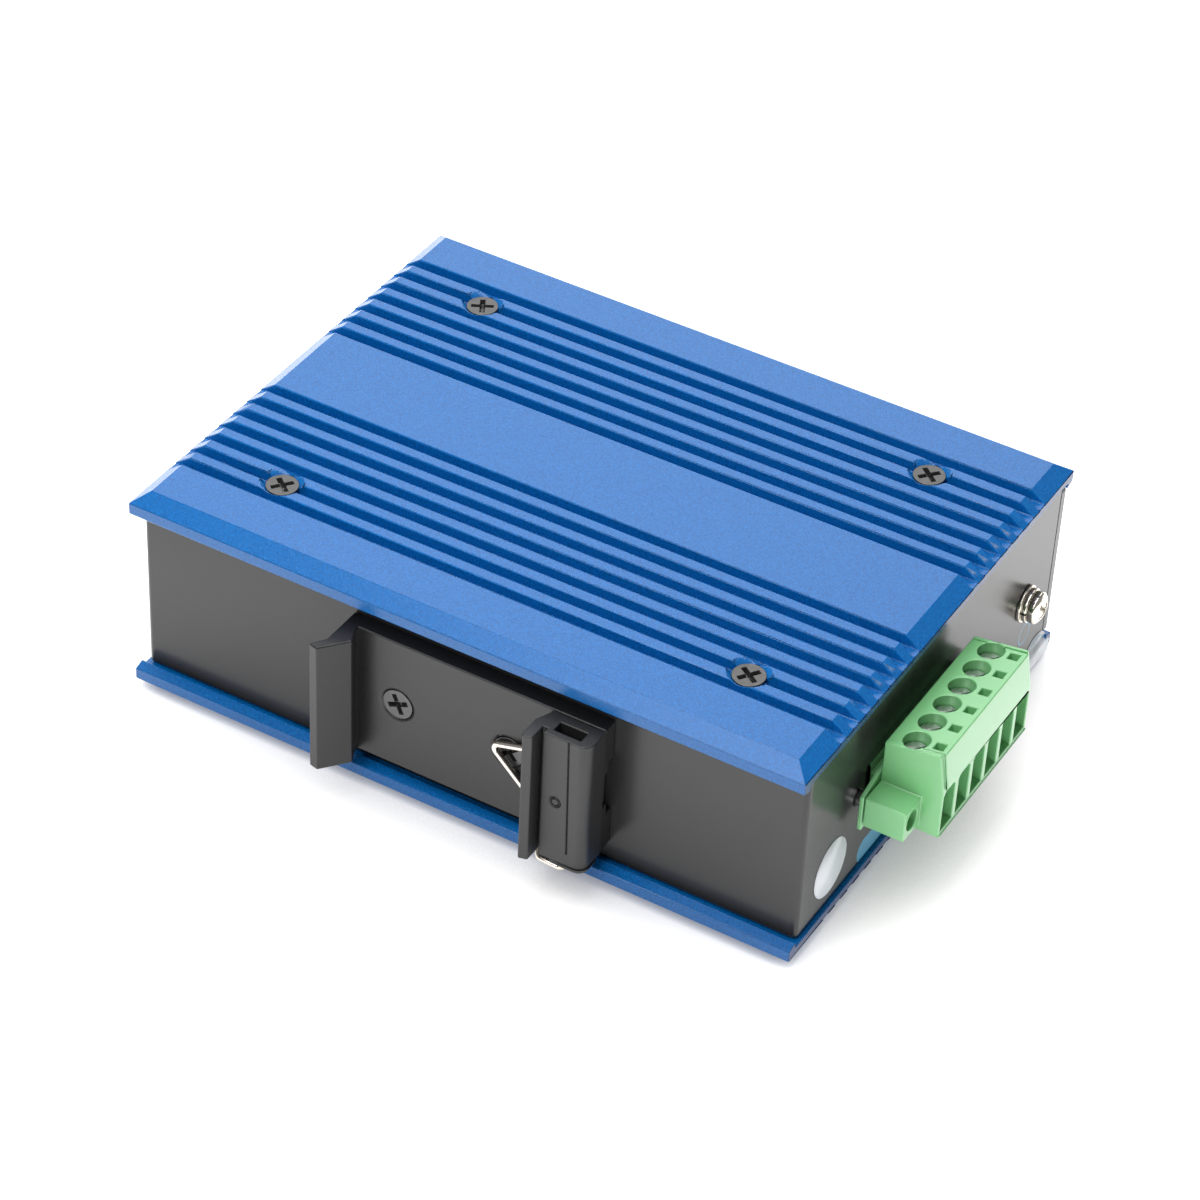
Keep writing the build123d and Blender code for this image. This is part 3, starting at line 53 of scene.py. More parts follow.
class Value:
    """A number, colour or vector inside a material. Arithmetic on it adds Math nodes."""

    def __init__(self, finish, socket):
        self.finish = finish
        self.socket = socket

    def math(self, operation, *others):
        sockets = dict(enumerate((self, *others)))
        return self.finish.node("ShaderNodeMath", {"operation": operation}, sockets)

    def __add__(self, other):
        return self.math("ADD", other)

    def __sub__(self, other):
        return self.math("SUBTRACT", other)

    def __rsub__(self, other):
        return self.finish.node("ShaderNodeMath", {"operation": "SUBTRACT"}, {0: other, 1: self})

    def __mul__(self, other):
        return self.math("MULTIPLY", other)

    def __gt__(self, other):
        return self.math("GREATER_THAN", other)

    def __lt__(self, other):
        return self.math("LESS_THAN", other)

    def __abs__(self):
        return self.math("ABSOLUTE")

    __radd__ = __add__
    __rmul__ = __mul__


class Finish:
    """A material on one Principled shader. Plain values are set on the shader's own sockets."""

    def __init__(self, name, **sockets):
        self.material = bpy.data.materials.new(name)
        self.material.use_nodes = True
        self.tree = self.material.node_tree
        self.shader = self.tree.nodes["Principled BSDF"]
        self.vary(**sockets)

    def vary(self, **sockets):
        for name, value in sockets.items():
            title = name.replace("_", " ").title().replace("Ior", "IOR")
            self.feed(self.shader.inputs[title], value)
        return self

    def feed(self, socket, value):
        if isinstance(value, Value):
            self.tree.links.new(value.socket, socket)
        elif isinstance(value, tuple) and socket.type == "RGBA":
            socket.default_value = (*value[:3], 1.0)
        else:
            socket.default_value = value

    def node(self, kind, settings, sockets, output=0):
        made = self.tree.nodes.new(kind)
        for name, value in settings.items():
            setattr(made, name, value)
        for name, value in sockets.items():
            self.feed(made.inputs[name], value)
        return Value(self, made.outputs[output])

    def place(self):
        """The point on the object, in metres."""
        return self.node("ShaderNodeTexCoord", {}, {}, output="Object")

    def axis(self, name):
        """One coordinate of that point, in millimetres."""
        return self.node("ShaderNodeSeparateXYZ", {}, {0: self.place()}, output=name) * 1000.0

    def noise(self, size_mm, detail=2.0, rough=0.5, stretch=(1.0, 1.0, 1.0)):
        """Noise from 0 to 1 whose features are about size_mm across, longer where stretch is over 1."""
        spread = self.node(
            "ShaderNodeVectorMath", {"operation": "DIVIDE"}, {0: self.place(), 1: stretch}
        )
        sockets = {"Vector": spread, "Scale": 1000.0 / size_mm, "Detail": detail, "Roughness": rough}
        return self.node("ShaderNodeTexNoise", {}, sockets)

    def distance(self, u, v):
        """How far a point is from the place where both numbers are zero, in the units of both."""
        return (u * u + v * v).math("SQRT")

    def mix(self, share, low, high):
        made = self.tree.nodes.new("ShaderNodeMix")
        made.data_type = "RGBA"
        for name, value in (("Factor_Float", share), ("A_Color", low), ("B_Color", high)):
            self.feed(next(s for s in made.inputs if s.identifier == name), value)
        return Value(self, next(s for s in made.outputs if s.identifier == "Result_Color"))

    def bump(self, height, depth_mm, strength=1.0):
        sockets = {"Strength": strength, "Distance": depth_mm * MM, "Height": height}
        return self.vary(normal=self.node("ShaderNodeBump", {}, sockets))


def round_edges(piece, edge_mm, segments=2, angle=40.0):
    """Rounds the sharp edges of a mesh, after its flat faces are merged."""
    weld = piece.modifiers.new("weld", "WELD")
    weld.merge_threshold = 0.002 * MM
    flat = piece.modifiers.new("flat", "DECIMATE")
    flat.decimate_type = "DISSOLVE"
    flat.angle_limit = radians(0.2)
    bevel = piece.modifiers.new("edge", "BEVEL")
    bevel.width = edge_mm * MM
    bevel.segments = segments
    bevel.limit_method = "ANGLE"
    bevel.angle_limit = radians(angle)
    bevel.use_clamp_overlap = False
    bevel.harden_normals = True


def dress(finish, *nodes, edge_mm=0.0, segments=2):
    """Gives CAD nodes their finish, and rounds their sharp edges where edge_mm is set."""
    for node in nodes:
        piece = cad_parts[node]
        piece.data.materials.clear()
        piece.data.materials.append(finish.material)
        if edge_mm:
            round_edges(piece, edge_mm, segments)


def prism(mesh, outline, along, start, end):
    """Adds a closed solid to a bmesh: an outline in mm, pushed from start to end along one axis."""
    turns = {
        "x": lambda u, v, w: (w, u, v),
        "y": lambda u, v, w: (u, w, v),
        "z": lambda u, v, w: (u, v, w),
    }
    first, last = (
        [mesh.verts.new(Vector(turns[along](u, v, w)) * MM) for u, v in outline] for w in (start, end)
    )
    faces = [mesh.faces.new(first), mesh.faces.new(last)]
    for n in range(len(outline)):
        faces.append(mesh.faces.new((first[n - 1], first[n], last[n], last[n - 1])))
    bmesh.ops.recalc_face_normals(mesh, faces=faces)


def rectangle(u, v, width, height):
    left, right = u - width / 2, u + width / 2
    low, high = v - height / 2, v + height / 2
    return [(left, low), (right, low), (right, high), (left, high)]


def circle(u, v, radius, corners=48):
    angles = [2 * pi * n / corners for n in range(corners)]
    return [(u + radius * cos(a), v + radius * sin(a)) for a in angles]


def piece_from(name, mesh, finish):
    """Turns a bmesh into an object with smooth faces and one finish."""
    data = bpy.data.meshes.new(name)
    mesh.to_mesh(data)
    mesh.free()
    for face in data.polygons:
        face.use_smooth = True
    data.materials.append(finish.material)
    piece = bpy.data.objects.new(name, data)
    bpy.context.scene.collection.objects.link(piece)
    return piece


def carve(piece, tool, operation):
    """Joins the solids of a piece, and adds the tool's solids to them or takes them out."""
    boolean = piece.modifiers.new("carve", "BOOLEAN")
    boolean.operation = operation
    boolean.solver = "EXACT"
    boolean.use_self = True
    boolean.object = tool
    graph = bpy.context.evaluated_depsgraph_get()
    carved = bpy.data.meshes.new_from_object(piece.evaluated_get(graph))
    piece.modifiers.clear()
    piece.data = carved
    bpy.data.objects.remove(tool)


def copy_of(node, name, finish):
    """A new object with the mesh of a CAD node, to be carved further."""
    piece = bpy.data.objects.new(name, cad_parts[node].data.copy())
    piece.data.materials.clear()
    piece.data.materials.append(finish.material)
    bpy.context.scene.collection.objects.link(piece)
    return piece


def round_outer_edges(piece, edge_mm, segments=3, angle=40.0):
    """Rounds only the outward edges of a piece of ours, so that its inner corners stay sharp."""
    mesh = bmesh.new()
    mesh.from_mesh(piece.data)
    bmesh.ops.remove_doubles(mesh, verts=mesh.verts[:], dist=0.002 * MM)
    bmesh.ops.dissolve_limit(
        mesh,
        angle_limit=radians(0.2),
        verts=mesh.verts[:],
        edges=mesh.edges[:],
        use_dissolve_boundaries=False,
    )
    weight = mesh.edges.layers.float.new("bevel_weight_edge")
    for edge in mesh.edges:
        sharp = len(edge.link_faces) == 2 and edge.calc_face_angle() > radians(angle)
        edge[weight] = 1.0 if sharp and edge.is_convex else 0.0
    mesh.to_mesh(piece.data)
    mesh.free()
    bevel = piece.modifiers.new("edge", "BEVEL")
    bevel.width = edge_mm * MM
    bevel.segments = segments
    bevel.limit_method = "WEIGHT"
    bevel.use_clamp_overlap = False
    bevel.harden_normals = True


powder_black = Finish("powder_black", ior=1.42)
powder_grain = powder_black.noise(0.35, detail=3.0)
powder_cloud = powder_black.noise(14.0)
wall_face = 60.4
sheet = 1.0
end_wall_face = powder_black.axis("X") > wall_face - 0.1
across, height = powder_black.axis("Y"), powder_black.axis("Z")
patch_y, patch_z, patch_straight_half, patch_radius = -15.6, 5.9, 5.3, 2.3
patch_reach = (abs(across - patch_y) - patch_straight_half).math("MAXIMUM", 0.0)
patch = powder_black.distance(patch_reach, height - patch_z) < patch_radius
ring_y, ring_z, ring_radius, ring_line_half = 35.1, 10.85, 1.95, 0.11
ring_reach = powder_black.distance(across - ring_y, height - ring_z)
earth_ring = abs(ring_reach - ring_radius) < ring_line_half
print_blue = (patch + earth_ring) * end_wall_face
powder_black.vary(
    base_color=powder_black.mix(
        print_blue,
        powder_black.mix(powder_cloud, (0.021, 0.021, 0.0215), (0.027, 0.027, 0.0275)),
        (0.045, 0.24, 0.40),
    ),
    roughness=0.20 + powder_cloud * 0.04 + powder_grain * 0.06,
)
powder_black.bump(powder_grain, 0.010, 0.3)
terminal_z = 20.0
ear_places = (-25.4, 10.16)
closed_width, closed_height = 7.0, 10.0
screw_hole_radius = 1.27
housing = copy_of("housing_wrap", "coated_housing_wrap", powder_black)
wall_patches = bmesh.new()
screw_holes = bmesh.new()
for ear_y in ear_places:
    outward = -0.5 if ear_y < 0 else 0.5
    closed = rectangle(ear_y + outward, terminal_z, closed_width, closed_height)
    prism(wall_patches, closed, "x", wall_face - sheet, wall_face)
    hole = circle(ear_y, terminal_z, screw_hole_radius, 24)
    prism(screw_holes, hole, "x", wall_face - 2 * sheet, wall_face + sheet)
carve(housing, piece_from("wall_patches", wall_patches, powder_black), "UNION")
carve(housing, piece_from("screw_holes", screw_holes, powder_black), "DIFFERENCE")
round_edges(housing, 0.35, segments=3)
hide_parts("housing_wrap")
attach(housing, "case")
dress(powder_black, "front_panel")

# Pressed nuts: zinc plated steel, pushed into the flanges and the walls. The board's screws
# and the clock crystal's can have the same bright plating.
zinc = Finish("zinc", metallic=1.0)
zinc_cloud = zinc.noise(1.6, detail=3.0)
zinc.vary(
    base_color=zinc.mix(zinc_cloud, (0.60, 0.61, 0.63), (0.76, 0.77, 0.79)),
    roughness=0.22 + zinc_cloud * 0.14,
)
dress(zinc, "flange_nuts", "wall_nuts", "board_screws", "clock_crystal")

# Circuit board: glass laminate under green solder mask, on turned brass pillars.
board_mask = Finish("board_mask", coat_weight=0.4, coat_roughness=0.15)
board_weave = board_mask.noise(0.5, detail=2.0)
board_patch = board_mask.noise(7.0, detail=4.0)
board_mask.vary(
    base_color=board_mask.mix(board_patch > 0.52, (0.008, 0.075, 0.030), (0.012, 0.110, 0.042)),
    roughness=0.35 + board_weave * 0.15,
)
board_mask.bump(board_patch > 0.52, 0.03, 0.6)
dress(board_mask, "circuit_board")
brass = Finish("brass", metallic=1.0)
brass_lathe = brass.noise(0.3, stretch=(12.0, 12.0, 1.0))
brass.vary(
    base_color=brass.mix(brass_lathe, (0.62, 0.44, 0.18), (0.74, 0.55, 0.26)),
    roughness=0.22 + brass_lathe * 0.12,
)
dress(brass, "board_pillars")

# Chips and transformers: black moulding compound with a faint grain.
moulding_black = Finish("moulding_black")
moulding_grain = moulding_black.noise(0.4, detail=3.0)
moulding_black.vary(
    base_color=moulding_black.mix(moulding_grain, (0.012, 0.012, 0.013), (0.022, 0.022, 0.023)),
    roughness=0.45 + moulding_grain * 0.2,
)
moulding_black.bump(moulding_grain, 0.02, 0.4)
dress(moulding_black, "switch_chip", "power_controller", "line_transformers", "fault_relay")
dress(moulding_black, "lamp_tower", edge_mm=0.1)

# Heat sink: extruded aluminium, anodised black, glued on the switch chip.
sink_black = Finish("sink_black", metallic=0.8)
sink_streak = sink_black.noise(0.6, stretch=(1.0, 14.0, 1.0))
sink_black.vary(
    base_color=sink_black.mix(sink_streak, (0.02, 0.02, 0.022), (0.05, 0.05, 0.053)),
    roughness=0.35 + sink_streak * 0.15,
)
dress(sink_black, "chip_heat_sink")

# Chokes: pressed ferrite, grey and slightly porous.
ferrite = Finish("ferrite")
ferrite_pores = ferrite.noise(0.5, detail=4.0)
ferrite.vary(
    base_color=ferrite.mix(ferrite_pores, (0.045, 0.047, 0.050), (0.085, 0.088, 0.093)),
    roughness=0.65 + ferrite_pores * 0.2,
)
ferrite.bump(ferrite_pores, 0.05, 0.5)
dress(ferrite, "power_chokes")

# Capacitor and fuse bodies: drawn aluminium, faintly ringed from the tool.
can_aluminium = Finish("can_aluminium", metallic=1.0)
can_rings = can_aluminium.noise(0.25, stretch=(14.0, 14.0, 1.0))
can_aluminium.vary(
    base_color=can_aluminium.mix(can_rings, (0.68, 0.69, 0.71), (0.82, 0.83, 0.84)),
    roughness=0.25 + can_rings * 0.12,
)
dress(can_aluminium, "bulk_capacitors", "input_fuses")

# Header pins: square copper pins, tin plated.
tin = Finish("tin", metallic=1.0)
tin_cloud = tin.noise(1.2)
tin.vary(
    base_color=tin.mix(tin_cloud, (0.66, 0.65, 0.62), (0.80, 0.79, 0.76)),
    roughness=0.3 + tin_cloud * 0.12,
)
dress(tin, "header_pins", "clamp_cages", "plug_contacts")

# Sockets: a nickel plated sheet shield round a black insert, with eight gold plated springs.
# Their front edges stand just through the port panel.
socket_numbers = range(1, 6)
shield_nickel = Finish("shield_nickel", metallic=1.0)
shield_streak = shield_nickel.noise(0.5, stretch=(1.0, 16.0, 1.0))
shield_cloud = shield_nickel.noise(5.0)
shield_nickel.vary(
    base_color=shield_nickel.mix(shield_cloud, (0.66, 0.65, 0.62), (0.78, 0.77, 0.74)),
    roughness=0.20 + shield_streak * 0.16,
)
dress(shield_nickel, *(f"port_{n}_shield" for n in socket_numbers), edge_mm=0.08)
insert_black = Finish("insert_black")
insert_grain = insert_black.noise(0.35, detail=2.0)
insert_black.vary(
    base_color=insert_black.mix(insert_grain, (0.012, 0.012, 0.013), (0.020, 0.020, 0.021)),
    roughness=0.38 + insert_grain * 0.16,
)
dress(insert_black, *(f"port_{n}_insert" for n in socket_numbers), edge_mm=0.1)
contact_gold = Finish("contact_gold", metallic=1.0)
gold_wipe = contact_gold.noise(0.4, stretch=(1.0, 10.0, 1.0))
contact_gold.vary(
    base_color=contact_gold.mix(gold_wipe, (0.90, 0.62, 0.24), (0.96, 0.72, 0.34)),
    roughness=0.16 + gold_wipe * 0.12,
)
dress(contact_gold, *(f"port_{n}_contacts" for n in socket_numbers))

# Lamps: clear plastic lenses with a green tint, unlit. Two stand in the top of each socket,
# and three on a black tower come through the panel.
lamp_lens = Finish("lamp_lens", coat_weight=0.6, coat_roughness=0.05, subsurface_weight=0.3)
lens_depth = lamp_lens.noise(1.4, detail=1.0)
lamp_lens.vary(
    base_color=lamp_lens.mix(lens_depth, (0.42, 0.62, 0.40), (0.62, 0.78, 0.56)),
    roughness=0.14 + lens_depth * 0.08,
)
dress(lamp_lens, "port_lamps", "status_lamps", edge_mm=0.08)

# Terminal header: light green moulded nylon. The part behind the plug lies in the end wall.
# Its flanges are cut back behind the wall, and carry the brass nuts of the plug's screws.
terminal_green = Finish("terminal_green", subsurface_weight=0.08, subsurface_scale=0.0010)
terminal_green.vary(subsurface_radius=Vector((0.6, 1.0, 0.6)), coat_weight=0.75, coat_roughness=0.28)
green_flow = terminal_green.noise(5.0, detail=3.0)
green_grain = terminal_green.noise(0.3)
terminal_green.vary(
    base_color=terminal_green.mix(green_flow, (0.160, 0.455, 0.180), (0.185, 0.495, 0.205)),
    roughness=0.33 + green_grain * 0.08,
)
terminal_green.bump(green_grain, 0.006, 0.3)
terminal_y = -7.62
header_front, flange_front = 60.55, 59.3
cut_width, cut_height = 50.0, 14.0
header_cuts = bmesh.new()
prism(header_cuts, rectangle(terminal_y, terminal_z, cut_width, cut_height), "x", header_front, 64.0)
for ear_y in ear_places:
    outward = -0.4 if ear_y < 0 else 0.4
    flange = rectangle(ear_y + outward, terminal_z, 7.0, cut_height)
    prism(header_cuts, flange, "x", flange_front, 64.5)
header = copy_of("terminal_header", "green_terminal_header", terminal_green)
carve(header, piece_from("header_cuts", header_cuts, terminal_green), "DIFFERENCE")
round_edges(header, 0.1)
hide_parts("terminal_header")
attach(header, "case")
nut_cuts = bmesh.new()
prism(nut_cuts, rectangle(terminal_y, terminal_z, cut_width, cut_height), "x", flange_front, 64.0)
flange_nuts = copy_of("header_nuts", "brass_flange_nuts", brass)
carve(flange_nuts, piece_from("nut_cuts", nut_cuts, brass), "DIFFERENCE")
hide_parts("header_nuts")
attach(flange_nuts, "case")

# Terminal plug: one light green moulding, with a well for each clamp screw, a square test hole
# beside it and a wire entry below. A sloped panel lies between its two end walls, and the ears
# at both ends take the flange screws.
pole_pitch = 5.08
pole_places = [pole_pitch * (n - 4) for n in range(6)]
plug_ends = (-22.86, 7.62)
plug_middle = sum(plug_ends) / 2
plug_foot = 16.0
plug_back = 62.8
end_inset, end_thickness = 0.9, 1.3
plug_solids = bmesh.new()
panel_outline = [
    (plug_back, plug_foot), (73.45, plug_foot), (73.45, 16.45), (73.3, 16.45), (73.3, 25.1),
    (73.6, 25.35), (73.6, 25.6), (72.6, 31.9), (plug_back, 30.5),
]
end_outline = [
    (plug_back, plug_foot), (73.45, plug_foot), (73.45, 16.45), (73.3, 16.45), (73.3, 25.0),
    (72.2, 31.83), (plug_back, 30.5),
]
prism(plug_solids, panel_outline, "y", plug_ends[0] + end_inset, plug_ends[1] - end_inset)
prism(plug_solids, end_outline, "y", plug_ends[0], plug_ends[0] + end_thickness)
prism(plug_solids, end_outline, "y", plug_ends[1] - end_thickness, plug_ends[1])
ear_height, ear_front, ear_root = 5.6, 69.8, 0.4
for ear_y in ear_places:
    root = ear_root if ear_y < plug_middle else -ear_root
    ear = rectangle(ear_y + root / 2, terminal_z, pole_pitch + ear_root, ear_height)
    prism(plug_solids, ear, "x", plug_back, ear_front)
spigot = rectangle(plug_middle, terminal_z, 29.0, 5.0)
prism(plug_solids, spigot, "x", plug_back - 8.4, plug_back + 0.5)
back_plate = [
    (-27.95, 16.1), (12.71, 16.1), (12.71, 22.7),
    (7.96, 24.2), (-23.2, 24.2), (-27.95, 22.7),
]
prism(plug_solids, back_plate, "x", 61.85, 62.6)
link_block = rectangle(plug_middle, 20.2, 29.4, 7.4)
prism(plug_solids, link_block, "x", 62.4, 63.0)
plug = piece_from("green_terminal_plug", plug_solids, terminal_green)
well_x, well_radius, well_floor = 66.9, 2.15, 27.45
driver_radius = 1.3
test_hole_x, test_hole_z = 70.8, 30.2
entry_half, entry_top_half = 1.95, 1.25
ear_bore_radius, ear_screw_radius = 1.75, 1.4
quarter_turn = Matrix.Rotation(radians(45), 4, "Z")
plug_cuts = bmesh.new()
for pole_y in pole_places:
    prism(plug_cuts, circle(well_x, pole_y, well_radius), "z", well_floor, 33.0)
    prism(plug_cuts, circle(well_x, pole_y, driver_radius, 24), "z", 24.0, 27.6)
    bmesh.ops.create_cone(
        plug_cuts,
        cap_ends=True,
        segments=4,
        radius1=0.75 * MM,
        radius2=1.25 * MM,
        depth=4.0 * MM,
        matrix=Matrix.Translation(Vector((test_hole_x, pole_y, test_hole_z)) * MM) @ quarter_turn,
    )
    arch = [
        (pole_y - entry_half, 17.0), (pole_y + entry_half, 17.0), (pole_y + entry_half, 24.0),
        (pole_y + entry_top_half, 24.7), (pole_y - entry_top_half, 24.7), (pole_y - entry_half, 24.0),
    ]
    prism(plug_cuts, arch, "x", 64.2, 75.0)
for ear_y in ear_places:
    prism(plug_cuts, circle(ear_y, terminal_z, ear_bore_radius), "x", 65.0, 71.0)
    prism(plug_cuts, circle(ear_y, terminal_z, ear_screw_radius, 24), "x", 61.0, 65.2)
carve(plug, piece_from("plug_cuts", plug_cuts, terminal_green), "DIFFERENCE")
round_edges(plug, 0.22, segments=3, angle=32.0)
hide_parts("terminal_plug")
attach(plug, "case")

# Clamp screws: zinc plated steel with a slotted cheese head, just below the top of each well.
# The flange screws in the ears have the same plating and the same kind of head.
screw_zinc = Finish("screw_zinc", metallic=1.0)
screw_cloud = screw_zinc.noise(0.8, detail=3.0)
screw_zinc.vary(
    base_color=screw_zinc.mix(screw_cloud, (0.40, 0.42, 0.42), (0.68, 0.70, 0.68)),
    roughness=0.20 + screw_cloud * 0.2,
)
dress(screw_zinc, "clamp_screws", "plug_flange_screws", edge_mm=0.1)

# Side plates: extruded aluminium with cooling grooves, bead-blasted and anodised blue.
# Four countersunk screws hold each one on the housing's flanges.
anodised_blue = Finish("anodised_blue", specular_ior_level=0.42)
blast_grain = anodised_blue.noise(0.24, detail=1.0, rough=0.6)
blast_speck = anodised_blue.noise(0.55, detail=1.0)
dye_cloud = anodised_blue.noise(35.0)
blast_contrast = (blast_grain - 0.30) * 2.5
blue_shade = anodised_blue.mix(blast_contrast, (0.000, 0.080, 0.275), (0.002, 0.155, 0.495))
plate_half_length, plate_half_width = 61.0, 46.0
sawn_end = abs(anodised_blue.axis("X")) > plate_half_length - 0.05
# The outer side faces of the plates get a darker blue: a painted shade, where less light falls on them.
painted_shade_side = abs(anodised_blue.axis("Y")) > plate_half_width - 0.15
clouded_blue = anodised_blue.mix(dye_cloud * 0.2, blue_shade, (0.001, 0.118, 0.385))
side_shaded_blue = anodised_blue.mix(painted_shade_side * 0.5, clouded_blue, (0.001, 0.060, 0.190))
anodised_blue.vary(
    base_color=anodised_blue.mix(sawn_end, side_shaded_blue, (0.008, 0.036, 0.140)),
    roughness=0.22 + blast_speck * 0.10,
)
anodised_blue.bump(blast_grain, 0.03, 0.5)
dress(anodised_blue, "upper_side_plate", "lower_side_plate", edge_mm=0.18)

# Plate, panel and clip screws: countersunk steel, blackened, with a cross recess. The heads of
# the plate and clip screws keep fine rings from turning.


def turned_head(finish, u, v, shade_low, shade_high):
    """Fine turning rings round the screw axis, which is where u and v are zero."""
    rings = (finish.distance(u, v) * 24.0).math("SINE")
    wear = finish.noise(0.9, detail=3.0)
    finish.vary(base_color=finish.mix(wear, shade_low, shade_high), roughness=0.30 + wear * 0.16)
    finish.bump(rings, 0.006, 0.5)


plate_screw_x, plate_screw_y = 42.5, 30.0
plate_screw_black = Finish("plate_screw_black", metallic=0.85)
turned_head(
    plate_screw_black,
    abs(plate_screw_black.axis("X")) - plate_screw_x,
    abs(plate_screw_black.axis("Y")) - plate_screw_y,
    (0.075, 0.074, 0.074),
    (0.135, 0.132, 0.130),
)
dress(plate_screw_black, "upper_plate_screws", "lower_plate_screws", edge_mm=0.1)
clip_screw_x, clip_screw_z = 10.2, 20.0
clip_screw_black = Finish("clip_screw_black", metallic=0.85)
turned_head(
    clip_screw_black,
    abs(clip_screw_black.axis("X")) - clip_screw_x,
    clip_screw_black.axis("Z") - clip_screw_z,
    (0.075, 0.075, 0.075),
    (0.13, 0.13, 0.13),
)
dress(clip_screw_black, "clip_screws", edge_mm=0.1)
panel_screw_black = Finish("panel_screw_black", metallic=0.85)
panel_wear = panel_screw_black.noise(0.9, detail=3.0)
panel_screw_black.vary(
    base_color=panel_screw_black.mix(panel_wear, (0.05, 0.05, 0.05), (0.09, 0.09, 0.09)),
    roughness=0.3 + panel_wear * 0.15,
)
dress(panel_screw_black, "front_panel_screws", edge_mm=0.06)

# Earth screw: nickel plated pan head over a split spring washer and a flat washer.
nickel = Finish("nickel", metallic=1.0)
nickel_cloud = nickel.noise(1.0, detail=2.0)
nickel.vary(
    base_color=nickel.mix(nickel_cloud, (0.72, 0.66, 0.58), (0.86, 0.81, 0.73)),
    roughness=0.10 + nickel_cloud * 0.10,
)
dress(nickel, "earth_screw", "earth_spring_washer", "earth_flat_washer", edge_mm=0.15, segments=3)

# Rail clip: an extrusion with the fixed hook, powder coated black, screwed to the rear wall.
# Its outward edges are rounded, and the corner at the hook's root stays sharp.
clip_black = Finish("clip_black")
clip_grain = clip_black.noise(0.30, detail=2.0)
clip_black.vary(
    base_color=clip_black.mix(clip_grain, (0.006, 0.006, 0.0062), (0.013, 0.013, 0.0133)),
    roughness=0.34 + clip_grain * 0.12,
)
clip_black.bump(clip_grain, 0.03, 0.7)
rail_clip = copy_of("din_clip_base", "coated_rail_clip", clip_black)
round_outer_edges(rail_clip, 0.3)
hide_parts("din_clip_base")
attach(rail_clip, "case")

# Jaw: moulded black nylon with a fine grain, which slides in the clip's keyway. The tool left
# a parting line down its face and the round mark of an ejector pin.
jaw_black = Finish("jaw_black")
jaw_grain = jaw_black.noise(0.32, detail=2.0)
jaw_black.vary(
    base_color=jaw_black.mix(jaw_grain, (0.010, 0.010, 0.0105), (0.022, 0.022, 0.0225)),
    roughness=0.38 + jaw_grain * 0.14,
)
jaw_black.bump(jaw_grain, 0.02, 0.5)
jaw_face = -51.4
in_front = jaw_face - 0.1
lip_side, channel_width, channel_floor = 18.7, 0.7, -50.2
toe_radius = 1.78
toe_low, toe_high = 6.7, 7.8
jaw_extra = bmesh.new()
corner_turn = [radians(10 * n) for n in range(10)]
toe = [(21.4, jaw_face)]
toe += [(25.6 + toe_radius * sin(a), -49.6 - toe_radius * cos(a)) for a in corner_turn]
toe += [(27.38, -47.6), (25.5, -47.6), (25.5, -49.95), (21.4, -49.95)]
prism(jaw_extra, toe, "z", toe_low, toe_high)
jaw_cuts = bmesh.new()
channel = [
    (lip_side, -52.0), (lip_side + channel_width, -52.0),
    (lip_side + channel_width, channel_floor), (lip_side, channel_floor),
]
prism(jaw_cuts, channel, "z", 5.0, 35.0)
line_top, line_bottom, line_half = 23.85, 24.3, 0.06
line_floor = jaw_face + 0.12
parting = []
for z, middle in ((10.0, line_bottom), (34.0, line_top)):
    left, right = middle - line_half, middle + line_half
    for x, y in ((left, in_front), (right, in_front), (right, line_floor), (left, line_floor)):
        parting.append(jaw_cuts.verts.new(Vector((x, y, z)) * MM))
box_faces = ((0, 1, 2, 3), (7, 6, 5, 4), (0, 4, 5, 1), (1, 5, 6, 2), (2, 6, 7, 3), (3, 7, 4, 0))
for corners in box_faces:
    jaw_cuts.faces.new([parting[n] for n in corners])
bmesh.ops.recalc_face_normals(jaw_cuts, faces=jaw_cuts.faces[:])
mark_x, mark_z, mark_radius, rim_radius, mark_corners = 21.9, 19.5, 1.0, 0.62, 32
mark_floor = jaw_face + 0.22


def jaw_mark_circle(radius, y):
    """One circle of the ejector mark, at the depth y."""
    ring = circle(mark_x, mark_z, radius, mark_corners)
    return [jaw_cuts.verts.new(Vector((x, y, z)) * MM) for x, z in ring]


mark_front = jaw_mark_circle(mark_radius, in_front)
mark_back = jaw_mark_circle(mark_radius, mark_floor)
rim_front = jaw_mark_circle(rim_radius, in_front)
rim_back = jaw_mark_circle(rim_radius, mark_floor)
mark_bands = (
    (mark_front, mark_back), (rim_back, rim_front),
    (rim_front, mark_front), (mark_back, rim_back),
)
ring_faces = []
for n in range(mark_corners):
    after = (n + 1) % mark_corners
    for a, b in mark_bands:
        ring_faces.append(jaw_cuts.faces.new((a[n], a[after], b[after], b[n])))
bmesh.ops.recalc_face_normals(jaw_cuts, faces=ring_faces)
jaw = copy_of("clip_jaw", "moulded_clip_jaw", jaw_black)
carve(jaw, piece_from("jaw_extra", jaw_extra, jaw_black), "UNION")
carve(jaw, piece_from("jaw_cuts", jaw_cuts, jaw_black), "DIFFERENCE")
round_edges(jaw, 0.22, segments=3)
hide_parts("clip_jaw")
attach(jaw, "jaw")
